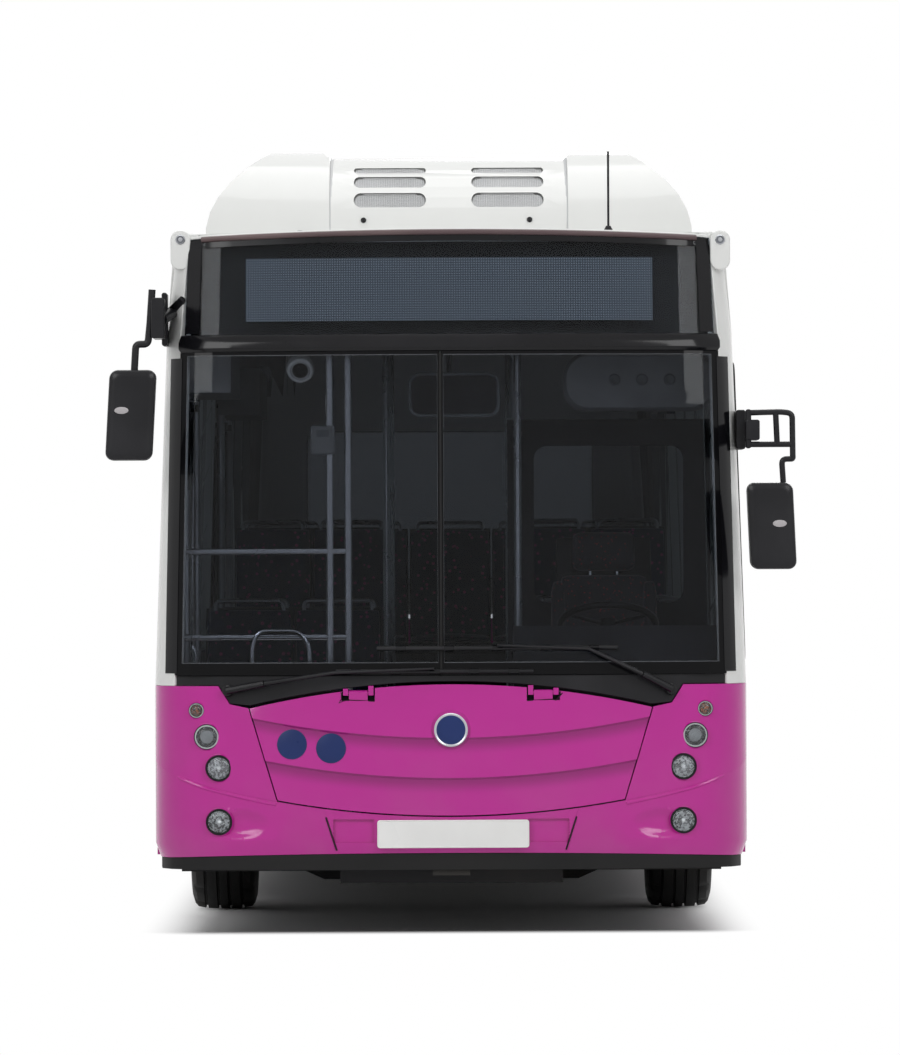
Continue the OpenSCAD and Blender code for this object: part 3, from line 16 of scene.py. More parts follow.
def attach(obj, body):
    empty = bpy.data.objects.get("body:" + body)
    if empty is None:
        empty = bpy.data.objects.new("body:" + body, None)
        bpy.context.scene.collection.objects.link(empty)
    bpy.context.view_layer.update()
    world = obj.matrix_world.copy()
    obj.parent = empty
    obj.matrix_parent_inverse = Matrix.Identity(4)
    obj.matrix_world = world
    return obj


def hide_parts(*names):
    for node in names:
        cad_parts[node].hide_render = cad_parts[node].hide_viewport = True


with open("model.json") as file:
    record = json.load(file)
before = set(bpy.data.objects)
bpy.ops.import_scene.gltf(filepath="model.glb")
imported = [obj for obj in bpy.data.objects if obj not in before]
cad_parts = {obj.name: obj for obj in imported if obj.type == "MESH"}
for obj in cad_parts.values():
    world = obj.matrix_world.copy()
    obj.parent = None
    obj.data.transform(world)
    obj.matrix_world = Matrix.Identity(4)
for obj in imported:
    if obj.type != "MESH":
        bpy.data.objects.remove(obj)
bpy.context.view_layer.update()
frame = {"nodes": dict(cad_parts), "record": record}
nodes = frame["nodes"]
SIDES = (-1.0, 1.0)

# %% [markdown]
# The photograph was taken from far in front with a long lens, so the camera stands 30 m away and looks straight along
# the bus. A small shift lifts the view without tilting the camera, which keeps upright lines upright.

# %% Camera
PHOTO_W, PHOTO_H = 900, 1055
SENSOR = 36.0
FOCAL_PX = 7035.0
HORIZON_PX = 558.5
CENTRE_PX = 450.2
CAMERA_Y = -36.0
CAMERA_Z = 1.623
CAMERA_ROLL = math.radians(0.25)

scene = bpy.context.scene
camera_data = bpy.data.cameras.new("camera")
camera_data.sensor_width = SENSOR
camera_data.lens = SENSOR * FOCAL_PX / PHOTO_H
camera_data.shift_y = (HORIZON_PX - PHOTO_H / 2) / PHOTO_H
camera_data.shift_x = (PHOTO_W / 2 - CENTRE_PX) / PHOTO_H
camera = bpy.data.objects.new("camera", camera_data)
camera.location = (0.0, CAMERA_Y, CAMERA_Z)
camera.rotation_euler = (math.pi / 2, CAMERA_ROLL, 0.0)
scene.collection.objects.link(camera)
scene.camera = camera
print("lens", round(camera_data.lens, 1), "mm")

# %% [markdown]
# Node trees are written with a small class, so that a line says what a node does and what goes into it. A value may be a
# number, a colour or the output of another node.

# %% Short calls for node trees
class Net:
    """A node tree that is written in short calls."""

    def __init__(self, tree):
        self.nodes, self.links = tree.nodes, tree.links

    def put(self, socket, value):
        if isinstance(value, bpy.types.NodeSocket):
            self.links.new(value, socket)
        else:
            socket.default_value = value

    def node(self, kind, inputs={}, **settings):
        """A node with its settings made and its inputs filled."""
        made = self.nodes.new(kind)
        for label, value in settings.items():
            setattr(made, label, value)
        for label, value in inputs.items():
            self.put(made.inputs[label], value)
        return made

    def math(self, operation, a, b=0.0):
        return self.node("ShaderNodeMath", {0: a, 1: b}, operation=operation).outputs[0]

    def ramp(self, value, low, high, to_low=0.0, to_high=1.0):
        """A smooth step from low..high to to_low..to_high."""
        spans = {"Value": value, "From Min": low, "From Max": high, "To Min": to_low, "To Max": to_high}
        return self.node("ShaderNodeMapRange", spans, interpolation_type="SMOOTHSTEP").outputs["Result"]

    def noise(self, coords, scale, detail):
        return self.node("ShaderNodeTexNoise", {"Vector": coords, "Scale": scale, "Detail": detail}).outputs["Fac"]

    def mix(self, factor, a, b, **settings):
        """A blend of two colours."""
        inputs = {"Factor": factor, "A": a, "B": b}
        return self.node("ShaderNodeMix", inputs, data_type="RGBA", **settings).outputs["Result"]

    def place(self):
        return self.node("ShaderNodeTexCoord").outputs["Object"]

    def axes(self):
        return self.node("ShaderNodeSeparateXYZ", {0: self.place()}).outputs

    def seen(self):
        """1 for rays that show the surround itself: from the camera, in reflections and through glass."""
        rays = self.node("ShaderNodeLightPath").outputs
        direct = self.math("MAXIMUM", rays["Is Camera Ray"], rays["Is Glossy Ray"])
        return self.math("MAXIMUM", direct, rays["Is Transmission Ray"])


class Finish(Net):
    """A material whose Principled shader is filled by name."""

    def __init__(self, name):
        self.mat = bpy.data.materials.new(name)
        self.mat.use_nodes = True
        super().__init__(self.mat.node_tree)
        self.shader = self.nodes["Principled BSDF"]

    def fill(self, **values):
        for label, value in values.items():
            self.put(self.shader.inputs[label.replace("_", " ")], value)
        return self

    def use(self, group, **values):
        """The outputs of a shared group."""
        return self.node("ShaderNodeGroup", values, node_tree=group).outputs

    def bump(self, height, distance, strength=1.0):
        relief = {"Height": height, "Distance": distance, "Strength": strength}
        return self.fill(Normal=self.node("ShaderNodeBump", relief).outputs["Normal"])


print("node helpers ready")

# %% [markdown]
# A studio is a pale floor, a white surround and a few large soft lamps. The surround is white to the camera and in
# reflections, and gives less light than it shows, so that colours come out as they are written.

# %% Studio
scene.view_settings.view_transform = "Standard"
AMBIENT = 0.24
WHITE = (1.0, 1.0, 1.0, 1.0)

world = bpy.data.worlds.new("studio")
scene.world = world
world.use_nodes = True
world.node_tree.nodes.clear()
sky = Net(world.node_tree)
dim = sky.node("ShaderNodeBackground", {"Color": WHITE, "Strength": AMBIENT}).outputs[0]
bright = sky.node("ShaderNodeBackground", {"Color": WHITE, "Strength": 1.0}).outputs[0]
surround = sky.node("ShaderNodeMixShader", {0: sky.seen(), 1: dim, 2: bright}).outputs[0]
sky.node("ShaderNodeOutputWorld", {"Surface": surround})

# name, place, aim, size, power
LAMPS = [
    ("over", (0.0, -4.0, 13.0), (0.0, -3.0, 1.0), 12.0, 760.0),
    ("front_left", (-8.0, -16.0, 9.0), (0.0, -5.0, 1.6), 6.0, 610.0),
    ("front_right", (8.0, -16.0, 9.0), (0.0, -5.0, 1.6), 6.0, 610.0),
    ("rear", (4.0, 17.0, 8.0), (0.0, 5.0, 1.5), 8.0, 700.0),
]
for name, place, aim, size, power in LAMPS:
    light = bpy.data.lights.new(name, "AREA")
    light.shape = "SQUARE"
    light.size = size
    light.energy = power
    lamp = bpy.data.objects.new(name, light)
    lamp.location = place
    lamp.rotation_euler = (Vector(aim) - Vector(place)).to_track_quat("-Z", "Y").to_euler()
    scene.collection.objects.link(lamp)
print("lamps", len(LAMPS))

# %% [markdown]
# Finishes that share an effect share a node group: a film of road dust that thickens towards the wheels, and a fine
# grain for moulded plastic and rubber. The Principled shader stays in each material, so that it exports well.

# %% Shared shader groups
COLOUR, NUMBER = "NodeSocketColor", "NodeSocketFloat"


def new_group(name, inputs, outputs):
    """A shader group with named sockets: the group, its net, what it is given and what it puts out."""
    group = bpy.data.node_groups.new(name, "ShaderNodeTree")
    for label, kind, value in inputs:
        group.interface.new_socket(label, in_out="INPUT", socket_type=kind).default_value = value
    for label, kind in outputs:
        group.interface.new_socket(label, in_out="OUTPUT", socket_type=kind)
    return group, Net(group), group.nodes.new("NodeGroupInput").outputs, group.nodes.new("NodeGroupOutput").inputs


film_group, net, given, result = new_group(
    "road film",
    [("Paint", COLOUR, WHITE), ("Film", COLOUR, (0.3, 0.28, 0.25, 1.0)), ("Amount", NUMBER, 0.3), ("Top", NUMBER, 1.2),
     ("Gloss", NUMBER, 0.12)],
    [("Color", COLOUR), ("Roughness", NUMBER)])
low_part = net.ramp(net.axes()["Z"], 0.25, given["Top"], 1.0, 0.12)
blotch = net.ramp(net.noise(net.place(), 3.5, 6.0), 0.35, 0.7, 0.25, 1.0)
dust = net.math("MULTIPLY", net.math("MULTIPLY", low_part, blotch), given["Amount"])
net.put(result["Color"], net.mix(dust, given["Paint"], given["Film"]))
net.put(result["Roughness"], net.math("ADD", given["Gloss"], dust))

grain_group, net, given, result = new_group(
    "moulded grain",
    [("Base", COLOUR, (0.03, 0.03, 0.03, 1.0)), ("Pale", COLOUR, (0.06, 0.06, 0.06, 1.0)), ("Scale", NUMBER, 400.0),
     ("Rough", NUMBER, 0.45)],
    [("Color", COLOUR), ("Roughness", NUMBER), ("Height", NUMBER)])
broad = net.ramp(net.noise(net.place(), 2.2, 5.0), 0.35, 0.7)
net.put(result["Color"], net.mix(broad, given["Base"], given["Pale"]))
net.put(result["Roughness"], net.math("ADD", given["Rough"], net.ramp(broad, 0.0, 1.0, -0.06, 0.1)))
net.put(result["Height"], net.noise(net.place(), given["Scale"], 2.0))
print("shader groups", film_group.name, "and", grain_group.name)

# %% [markdown]
# Each finish is a short function that fills a Principled shader. Paint has a clear coat and a faint film of dust,
# plastic has a grain, glass is a thin tinted pane. Colours are given as screen values from 0 to 255.

# %% Paint, plastic, glass and metal
def srgb(r, g, b):
    """A colour given as 0 to 255 screen values, in linear light."""
    def lin(c):
        c = c / 255.0
        return c / 12.92 if c <= 0.04045 else ((c + 0.055) / 1.055) ** 2.4
    return (lin(r), lin(g), lin(b), 1.0)


def darker(colour, share):
    return tuple(c * share for c in colour[:3]) + (1.0,)


CREASE_R = 4.2
CREASE_BOW = 1.0 / (2.0 * CREASE_R)


def paint(name, screen, film=0.12, gloss=0.16, shaded_creases=()):
    """Coach paint under a clear coat, with road film towards the skirts and a band of painted shade under each crease.
    """
    made, colour = Finish(name), srgb(*screen)
    skin = made.use(film_group, Paint=colour, Amount=film, Gloss=gloss)
    shown = skin["Color"]
    # Painted shade: a dark band just under each crease line, fading out a few centimetres below it.
    for crease_z in shaded_creases:
        axes = made.axes()
        bow = made.math("MULTIPLY", made.math("MULTIPLY", axes["X"], axes["X"]), CREASE_BOW)
        below = made.math("SUBTRACT", made.math("ADD", bow, crease_z), axes["Z"])
        start, fade = made.ramp(below, -0.003, 0.002, 0.0, 0.55), made.ramp(below, 0.008, 0.075, 1.0, 0.0)
        shown = made.mix(made.math("MULTIPLY", start, fade), shown, darker(colour, 0.25))
    made.fill(Base_Color=shown, Roughness=skin["Roughness"], Specular_IOR_Level=0.3, Coat_Weight=0.3, Coat_Roughness=0.04)
    made.bump(made.noise(made.place(), 260.0, 1.0), 0.00006)
    return made.mat


def grained(made, base, pale, scale, rough, depth):
    """Fills a finish with a fine grain and an uneven sheen."""
    grain = made.use(grain_group, Base=base, Pale=pale, Scale=scale, Rough=rough)
    made.fill(Base_Color=grain["Color"], Roughness=grain["Roughness"]).bump(grain["Height"], depth)
    return made.mat


def plastic(name, base, pale, scale=420.0, rough=0.42, depth=0.00025):
    """Moulded plastic or rubber."""
    made = Finish(name).fill(Specular_IOR_Level=0.22)
    return grained(made, srgb(*base), srgb(*pale), scale, rough, depth)


def metal(name, screen, rough):
    """Bare metal with a worn polish."""
    made, colour = Finish(name).fill(Metallic=1.0), srgb(*screen)
    return grained(made, colour, darker(colour, 0.8), 90.0, rough, 0.00008)


def glass(name, tint):
    """A clear pane with a tint; streaks of wiping vary its gloss."""
    made = Finish(name).fill(Base_Color=srgb(*tint), Transmission_Weight=1.0, IOR=1.2)
    return made.fill(Roughness=made.ramp(made.noise(made.place(), 1.6, 3.0), 0.4, 0.75, 0.0, 0.03)).mat


MAGENTA = (188, 22, 146)
white_paint = paint("white coach paint", (228, 229, 227))
magenta_paint = paint("magenta coach paint", MAGENTA, film=0.1)
# The flap's paint carries painted shade under its two creases.
flap_paint_crease_shade = paint("flap paint", MAGENTA, film=0.1, shaded_creases=(0.687, 0.858))
rim_paint = paint("rim silver", (158, 160, 164), film=0.45, gloss=0.35)
chassis_black = plastic("chassis black", (24, 24, 26), (48, 46, 43), 150.0, 0.55)
black_trim = plastic("black trim", (22, 22, 25), (34, 34, 37), 420.0, 0.34)
gloss_black = plastic("gloss black", (16, 16, 19), (22, 22, 25), 300.0, 0.16, 0.00004)
rubber = plastic("sealing rubber", (17, 17, 18), (31, 31, 31), 260.0, 0.6)
tyre_rubber = plastic("tyre rubber", (20, 20, 20), (42, 40, 38), 130.0, 0.68, 0.0006)
floor_vinyl = plastic("floor vinyl", (62, 63, 66), (88, 89, 92), 700.0, 0.55)
inner_panel = plastic("inner panel", (120, 122, 124), (150, 151, 152), 350.0, 0.45)
dark_panel = plastic("dark inner panel", (44, 45, 48), (62, 62, 66), 350.0, 0.5)
seat_shell = plastic("seat shell", (52, 56, 66), (70, 74, 84), 380.0, 0.4)
lamp_grey = plastic("lamp shield", (92, 96, 98), (112, 116, 118), 300.0, 0.3, 0.00004)
joint_dark = plastic("dark joint", (36, 8, 28), (44, 12, 34), 300.0, 0.5, 0.00004)
lip_brown = plastic("sign lip", (92, 76, 78), (108, 92, 92), 300.0, 0.4, 0.00008)
vent_back = plastic("vent plate", (196, 198, 199), (208, 209, 210), 400.0, 0.5)
grey_mesh = plastic("grey mesh", (206, 207, 208), (220, 221, 222), 500.0, 0.5)
plate_white = plastic("blank plate", (240, 241, 239), (232, 233, 231), 60.0, 0.3, 0.00005)
plate_grey = plastic("boss grey", (172, 168, 170), (184, 180, 182), 200.0, 0.4, 0.00004)
disc_blue = plastic("disc blue", (28, 44, 92), (34, 52, 104), 90.0, 0.3, 0.00005)
screen_glass = glass("windscreen glass", (164, 168, 175))
side_glass = glass("tinted side glass", (74, 80, 82))
rear_glass = glass("dark rear glass", (50, 53, 56))
sign_glass_finish = glass("dark sign glass", (196, 202, 210))
bare_steel = metal("bare steel", (168, 170, 174), 0.32)
rail_steel = metal("rail steel", (190, 192, 196), 0.25)
chrome = metal("lamp chrome", (226, 228, 232), 0.06)
disc_silver = metal("disc silver", (196, 198, 203), 0.18)
mirror_face = metal("mirror silver", (214, 218, 222), 0.03)
print("finishes", len(bpy.data.materials))

# %% [markdown]
# Cloth is woven, so its finish is a crossing of fine bands. The passenger seats carry a quiet pattern of flecks, and so
# does the driver's seat. Both are worked out from the surface's own place.

# %% Cloth
WEAVE = 45.0


def cloth(name, base, fleck, fleck_scale, threshold):
    """Woven cloth: a base colour, scattered flecks and the relief of the threads."""
    made = Finish(name)
    place = made.place()
    cells = made.node("ShaderNodeTexVoronoi", {"Scale": fleck_scale, "Vector": place})
    spot = made.ramp(cells.outputs["Distance"], threshold, threshold * 0.7)
    flecked = made.mix(spot, srgb(*base), srgb(*fleck))
    worn = made.mix(0.5, flecked, made.noise(place, 9.0, 4.0), blend_type="MULTIPLY")
    made.fill(Base_Color=worn, Roughness=0.85, Sheen_Weight=0.3)
    threads = [made.node("ShaderNodeTexWave", {"Scale": WEAVE, "Vector": place}, bands_direction=axis).outputs["Fac"]
               for axis in "XYZ"]
    made.bump(made.math("ADD", made.math("MULTIPLY", threads[0], threads[1]), threads[2]), 0.0004, 0.6)
    return made.mat


seat_cloth = cloth("seat cloth", (46, 58, 96), (168, 60, 140), 26.0, 0.28)
driver_cloth = cloth("driver cloth", (74, 70, 76), (196, 60, 72), 55.0, 0.22)
print("cloths", seat_cloth.name, driver_cloth.name)

# %% [markdown]
# Lenses, the display and the lamp bowls have finishes of their own. The display is a field of tiny dots behind dark
# glass; it is switched off, so only a faint grid shows.

# %% Lenses, display and lamp bowls
def lens(name, screen, rib_scale, clear):
    """Moulded lens: tinted, mostly clear, with fine ribs."""
    made = Finish(name).fill(Base_Color=srgb(*screen), Transmission_Weight=clear, IOR=1.18)
    made.fill(Roughness=made.ramp(made.noise(made.place(), 30.0, 2.0), 0.3, 0.7, 0.03, 0.14))
    if rib_scale:
        made.bump(made.node("ShaderNodeTexWave", {"Scale": rib_scale, "Vector": made.place()}).outputs["Fac"], 0.001, 0.7)
    return made.mat


def dot_display(name, base, dot, pitch):
    """A dot display that is off: rows and columns of pale dots on dark board."""
    made = Finish(name)
    axes = made.axes()
    waves = [made.math("SINE", made.math("MULTIPLY", axes[axis], 2.0 * math.pi / pitch)) for axis in "XZ"]
    dots = made.ramp(made.math("ADD", waves[0], waves[1]), 0.3, 1.4)
    made.fill(Base_Color=made.mix(dots, srgb(*base), srgb(*dot)), Roughness=0.5)
    return made.bump(dots, 0.001, 0.5).mat


def facets_with_painted_glints(name, dark, pale, scale):
    """A lamp bowl of small facets, with reflections painted on them bright and dim by turns."""
    made = Finish(name).fill(Metallic=1.0, Roughness=0.12)
    # Painted reflection: each facet cell is coloured bright or dark, as tilted facets would catch the lamps.
    cells = made.node("ShaderNodeTexVoronoi", {"Scale": scale, "Vector": made.place()})
    split = made.node("ShaderNodeSeparateColor", {0: cells.outputs["Color"]})
    return made.fill(Base_Color=made.mix(made.ramp(split.outputs[0], 0.25, 0.75), srgb(*dark), srgb(*pale))).mat


clear_lens = lens("clear lens", (240, 242, 245), 0.0, 0.95)
ribbed_lens = lens("ribbed lens", (236, 238, 242), 14.0, 0.9)
amber_lens = lens("amber lens", (238, 120, 18), 22.0, 0.6)
red_lens = lens("red lens", (178, 14, 16), 22.0, 0.55)
display_dots = dot_display("display dots", (70, 78, 86), (138, 147, 156), 0.0105)
bowl = facets_with_painted_glints("lamp bowl", (58, 60, 64), (236, 238, 240), 120.0)
print("finishes", len(bpy.data.materials))

# %% [markdown]
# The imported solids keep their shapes, and each gets its finish by name. A wall is painted outside and lined inside, so
# those nodes take two finishes: faces that look towards the middle of the bus get the inner panel.

# %% Finish of each solid
FINISH_ROWS = [
    (chassis_black, "chassis_frame front_axle rear_axle engine_block knuckle_left knuckle_right"),
    (floor_vinyl, "low_floor rear_deck"),
    (dark_panel, "wheel_boxes driver_platform dashboard partition"),
    (magenta_paint, "front_corners bumper engine_flap flap_hinges"),
    (flap_paint_crease_shade, "front_flap"),
    (sign_glass_finish, "sign_glass"),
    (display_dots, "sign_display"),
    (screen_glass, "windscreen"),
    (side_glass, "panes"),
    (gloss_black, "ledge"),
    (rubber, "valance"),
    (black_trim, "cowl wipers mirror_door_side mirror_driver_side antenna steering_wheel interior_mirror"),
    (clear_lens, "headlamps"),
    (red_lens, "rear_lamps"),
    (inner_panel, "door_housings"),
    (seat_cloth, "passenger_seats"),
    (driver_cloth, "driver_seat"),
    (rail_steel, "handrails"),
]
FINISH = {name: mat for mat, names in FINISH_ROWS for name in names.split()}
FINISH_BY_START = {"tyre": tyre_rubber, "rim": rim_paint, "leaf": black_trim, "arm": bare_steel}
LINED = ["wall_driver_side", "wall_door_side", "roof", "rear_end", "front_mask"]
ROOM_MIDDLE = Vector((0.0, 0.0, 1.6))
ROOM_HALF = Vector((1.222, 5.83, 1.385))


def finish_of(name):
    starts = [mat for start, mat in FINISH_BY_START.items() if name.startswith(start)]
    return FINISH.get(name) or (starts + [white_paint])[0]


def dress(obj, *mats):
    """Gives a solid its finishes in order; the first is on every face."""
    obj.data.materials.clear()
    for mat in mats:
        obj.data.materials.append(mat)
    for face in obj.data.polygons:
        face.material_index = 0


def looks_inwards(face):
    """True for a face of the lining: it faces the room and lies inside the outer skin."""
    to_room = ROOM_MIDDLE - face.center
    inside = abs(face.center.x) < ROOM_HALF.x and abs(face.center.y) < ROOM_HALF.y
    side = Vector(to_room[k] / ROOM_HALF[k] for k in range(3))
    return inside and face.normal.dot(side) > 0.35


for name, obj in nodes.items():
    if name in LINED:
        dress(obj, white_paint, inner_panel)
        for face in obj.data.polygons:
            face.material_index = 1 if looks_inwards(face) else 0
    else:
        dress(obj, finish_of(name))
print("dressed", len(nodes), "solids")

# %% [markdown]
# The floor takes the shadow under the bus and turns into the white surround a few steps away from it, so that no
# horizon shows. It is stage, not part of the bus.

# %% Floor
FLOOR_HALF = 60.0
FADE_FROM, FADE_TO = 0.0, 0.34
SHADE_HALF = {"X": 1.03, "Y": 5.30}

floor_mesh = bpy.data.meshes.new("floor")
corners = [(x * FLOOR_HALF, y * FLOOR_HALF, 0.0) for x, y in ((-1, -1), (1, -1), (1, 1), (-1, 1))]
floor_mesh.from_pydata(corners, [], [(0, 1, 2, 3)])
floor = bpy.data.objects.new("floor", floor_mesh)
scene.collection.objects.link(floor)

ground = Finish("studio floor").fill(Base_Color=(0.86, 0.86, 0.86, 1.0), Roughness=0.9)
axes = ground.axes()
beside = []
for axis, half in SHADE_HALF.items():
    away = ground.math("MAXIMUM", ground.math("SUBTRACT", ground.math("ABSOLUTE", axes[axis]), half), 0.0)
    beside.append(ground.math("MULTIPLY", away, away))
far = ground.ramp(ground.math("SQRT", ground.math("ADD", beside[0], beside[1])), FADE_FROM, FADE_TO)
glow = ground.node("ShaderNodeEmission").outputs[0]
faded = {0: ground.math("MULTIPLY", far, ground.seen()), 1: ground.shader.outputs[0], 2: glow}
ground.put(ground.nodes["Material Output"].inputs["Surface"], ground.node("ShaderNodeMixShader", faded).outputs[0])
floor_mesh.materials.append(ground.mat)
print("floor", 2 * FLOOR_HALF, "m wide")

# %% [markdown]
# New pieces are collected as faces with their finish and made into one mesh each. Closed shapes get their normals from
# Blender, faces are shaded smooth, and edges that turn sharply stay crisp.

# %% Helpers for pieces
SHARP = math.radians(35.0)


class Build:
    """Collects the faces of one piece, each with its finish."""

    def __init__(self, name):
        self.name = name
        self.verts, self.faces, self.kinds, self.mats = [], [], [], []

    def add(self, shape, mat):
        verts, faces = shape
        if mat not in self.mats:
            self.mats.append(mat)
        start = len(self.verts)
        self.verts.extend(tuple(v) for v in verts)
        self.faces.extend(tuple(start + i for i in face) for face in faces)
        self.kinds.extend([self.mats.index(mat)] * len(faces))
        return self

    def make(self, body, slot, replaces=()):
        mesh = bpy.data.meshes.new(self.name)
        mesh.from_pydata(self.verts, [], self.faces)
        for mat in self.mats:
            mesh.materials.append(mat)
        mesh.polygons.foreach_set("material_index", self.kinds)
        work = bmesh.new()
        work.from_mesh(mesh)
        bmesh.ops.recalc_face_normals(work, faces=work.faces)
        work.to_mesh(mesh)
        work.free()
        return settle(self.name, mesh, body, replaces)


def settle(name, mesh, body, replaces=(), bevel=0.0):
    """Makes a mesh into a shaded piece with rounded edges and says where it belongs."""
    obj = bpy.data.objects.new(name, mesh)
    scene.collection.objects.link(obj)
    for face in mesh.polygons:
        face.use_smooth = True
    mesh.set_sharp_from_angle(angle=SHARP)
    if bevel:
        rounding = obj.modifiers.new("round", "BEVEL")
        rounding.width = bevel
        rounding.segments = 2
        rounding.limit_method = "ANGLE"
        rounding.angle_limit = SHARP
    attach(obj, body)
    if replaces:
        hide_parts(*replaces)
    return obj


print("pieces can be built")

# %% [markdown]
# Most shapes are a row of equal outlines with walls between them: a profile turned round an axis, a tube along a path, or
# outlines one behind the other. Paths and outlines come from a few functions as well.

# %% Shapes
def spaced(first, last, count):
    """Evenly spaced values from first to last."""
    return [first + (last - first) * i / (count - 1) for i in range(count)]


def circle(count):
    return [2.0 * math.pi * k / count for k in range(count)]


def walls(rows, count, ring=False):
    """Faces between rows of points; a ring joins the last row to the first, others end in caps."""
    faces = []
    for i in range(rows if ring else rows - 1):
        a, b = i * count, (i + 1) % rows * count
        faces.extend((a + k, a + (k + 1) % count, b + (k + 1) % count, b + k) for k in range(count))
    if not ring:
        faces += [tuple(range(count)), tuple(range(rows * count - 1, (rows - 1) * count - 1, -1))]
    return faces


def frame_for(axis):
    """An axis and two directions across it."""
    axis = Vector(axis).normalized()
    helper = Vector((0.0, 0.0, 1.0)) if abs(axis.z) < 0.9 else Vector((1.0, 0.0, 0.0))
    u = helper.cross(axis).normalized()
    return axis, u, axis.cross(u)


def revolve(profile, centre, axis, segments=40, ring=False):
    """A profile of (along, radius) turned round an axis."""
    axis, u, w = frame_for(axis)
    turns = [u * math.cos(a) + w * math.sin(a) for a in circle(segments)]
    verts = [Vector(centre) + axis * along + turn * radius for along, radius in profile for turn in turns]
    return verts, walls(len(profile), segments, ring)


def tube(points, radius, sides=12, flat=1.0):
    """A round or flattened tube along points; radius is one value or one for each point."""
    points = [Vector(p) for p in points]
    radii = radius if isinstance(radius, (list, tuple)) else [radius] * len(points)
    verts, normal = [], None
    for i, p in enumerate(points):
        along = (points[min(i + 1, len(points) - 1)] - points[max(i - 1, 0)]).normalized()
        if normal is None:
            normal = frame_for(along)[1]
        normal = (normal - along * normal.dot(along)).normalized()
        across = along.cross(normal)
        verts.extend(p + (normal * math.cos(a) + across * math.sin(a) * flat) * radii[i] for a in circle(sides))
    return verts, walls(len(points), sides)


def loft(rings):
    """Closes a row of equal outlines into a solid."""
    return [Vector(p) for ring in rings for p in ring], walls(len(rings), len(rings[0]))


def box_shape(low, high):
    verts = [(x, y, z) for z in (low[2], high[2]) for y in (low[1], high[1]) for x in (low[0], high[0])]
    return verts, [(0, 2, 3, 1), (4, 5, 7, 6), (0, 1, 5, 4), (2, 6, 7, 3), (0, 4, 6, 2), (1, 3, 7, 5)]


def rounded_path(corners, radius, steps=6):
    """Points along corners with each inner corner rounded."""
    corners = [Vector(c) for c in corners]
    path = [corners[0]]
    for a, b, c in zip(corners, corners[1:], corners[2:]):
        cut = min(radius, (a - b).length * 0.49, (c - b).length * 0.49)
        start, stop = b + (a - b).normalized() * cut, b + (c - b).normalized() * cut
        path.extend(start.lerp(b, t).lerp(b.lerp(stop, t), t) for t in spaced(0.0, 1.0, steps + 1))
    return path + [corners[-1]]


def round_rect(half_w, half_h, radius, steps=6):
    """Outline of a rounded rectangle round the origin, as (u, v) pairs."""
    radius = min(radius, 0.98 * half_w, 0.98 * half_h)
    pts = []
    for cx, cy, a0 in ((1, 1, 0), (-1, 1, 90), (-1, -1, 180), (1, -1, 270)):
        for a in (math.radians(a0 + 90.0 * i / steps) for i in range(steps + 1)):
            pts.append((cx * (half_w - radius) + radius * math.cos(a), cy * (half_h - radius) + radius * math.sin(a)))
    return pts


def upright(x, y, z, half_w, half_h, radius):
    """A rounded outline that stands across the bus at a place."""
    return [Vector((x + u, y, z + v)) for u, v in round_rect(half_w, half_h, radius)]


print("shapes ready")

# %% [markdown]
# The moulded panels arrive as loose triangles. A copy with its points merged can be shaded smoothly and gets small
# rounded edges, so that light runs along every seam as it does on a real body. The bumper also gets a shallow dish beside
# each fog lamp.

# %% Smooth panels
MERGE = 0.00005
BODY_OF = {node: body for body, members in frame["record"]["behaviour"]["bodies"].items() for node in members}
SCOOP_AT, SCOOP_HALF, SCOOP_DEEP, SCOOP_STEP = (0.905, 0.490), (0.135, 0.068), 0.020, 0.016


def near_scoop(co_list):
    """Whether a face's corners reach into the dish beside a fog lamp."""
    across, up = [abs(co.x) for co in co_list], [co.z for co in co_list]
    return all(min(values) < at + half and max(values) > at - half
               for values, at, half in zip((across, up), SCOOP_AT, SCOOP_HALF))


def press_scoops(work):
    """Splits the bumper finely beside its fog lamps and presses a shallow dish into it there."""
    for _ in range(9):
        faces = [f for f in work.faces if near_scoop([v.co for v in f.verts])]
        faces = bmesh.ops.triangulate(work, faces=faces)["faces"]
        long_edges = {e for f in faces for e in f.edges if e.calc_length() > SCOOP_STEP}
        if not long_edges:
            break
        bmesh.ops.subdivide_edges(work, edges=list(long_edges), cuts=1)
    bmesh.ops.triangulate(work, faces=[f for f in work.faces if len(f.verts) > 4])
    for vert in work.verts:
        along = (abs(vert.co.x) - SCOOP_AT[0]) / SCOOP_HALF[0]
        tall = (vert.co.z - SCOOP_AT[1]) / SCOOP_HALF[1]
        near = max(0.0, 1.0 - along * along - tall * tall)
        vert.co.y += SCOOP_DEEP * near * near * (3.0 - 2.0 * near)


def smooth_copy(name, bevel):
    """A merged, smoothly shaded copy of a solid that stands for it."""
    mesh = nodes[name].data.copy()
    mesh.name = "panel_" + name
    work = bmesh.new()
    work.from_mesh(mesh)
    bmesh.ops.remove_doubles(work, verts=work.verts, dist=MERGE)
    bmesh.ops.dissolve_degenerate(work, edges=work.edges, dist=MERGE)
    bmesh.ops.dissolve_limit(work, verts=work.verts, edges=work.edges, angle_limit=math.radians(0.4),
                             delimit={"MATERIAL"})
    if name == "bumper":
        press_scoops(work)
    work.to_mesh(mesh)
    work.free()
    if mesh.attributes.get("custom_normal"):
        mesh.attributes.remove(mesh.attributes["custom_normal"])
    settle("panel_" + name, mesh, BODY_OF[name], [name], bevel)


# width of the rounded edges
SMOOTH = {"front_flap": 0.003, "front_corners": 0.004, "bumper": 0.006, "cowl": 0.003, "ledge": 0.004,
          "front_mask": 0.004, "roof_pods": 0.03, "roof_unit": 0.012, "valance": 0.002, "engine_flap": 0.003}
for name, width in SMOOTH.items():
    smooth_copy(name, width)
print("smooth panels", len(SMOOTH))

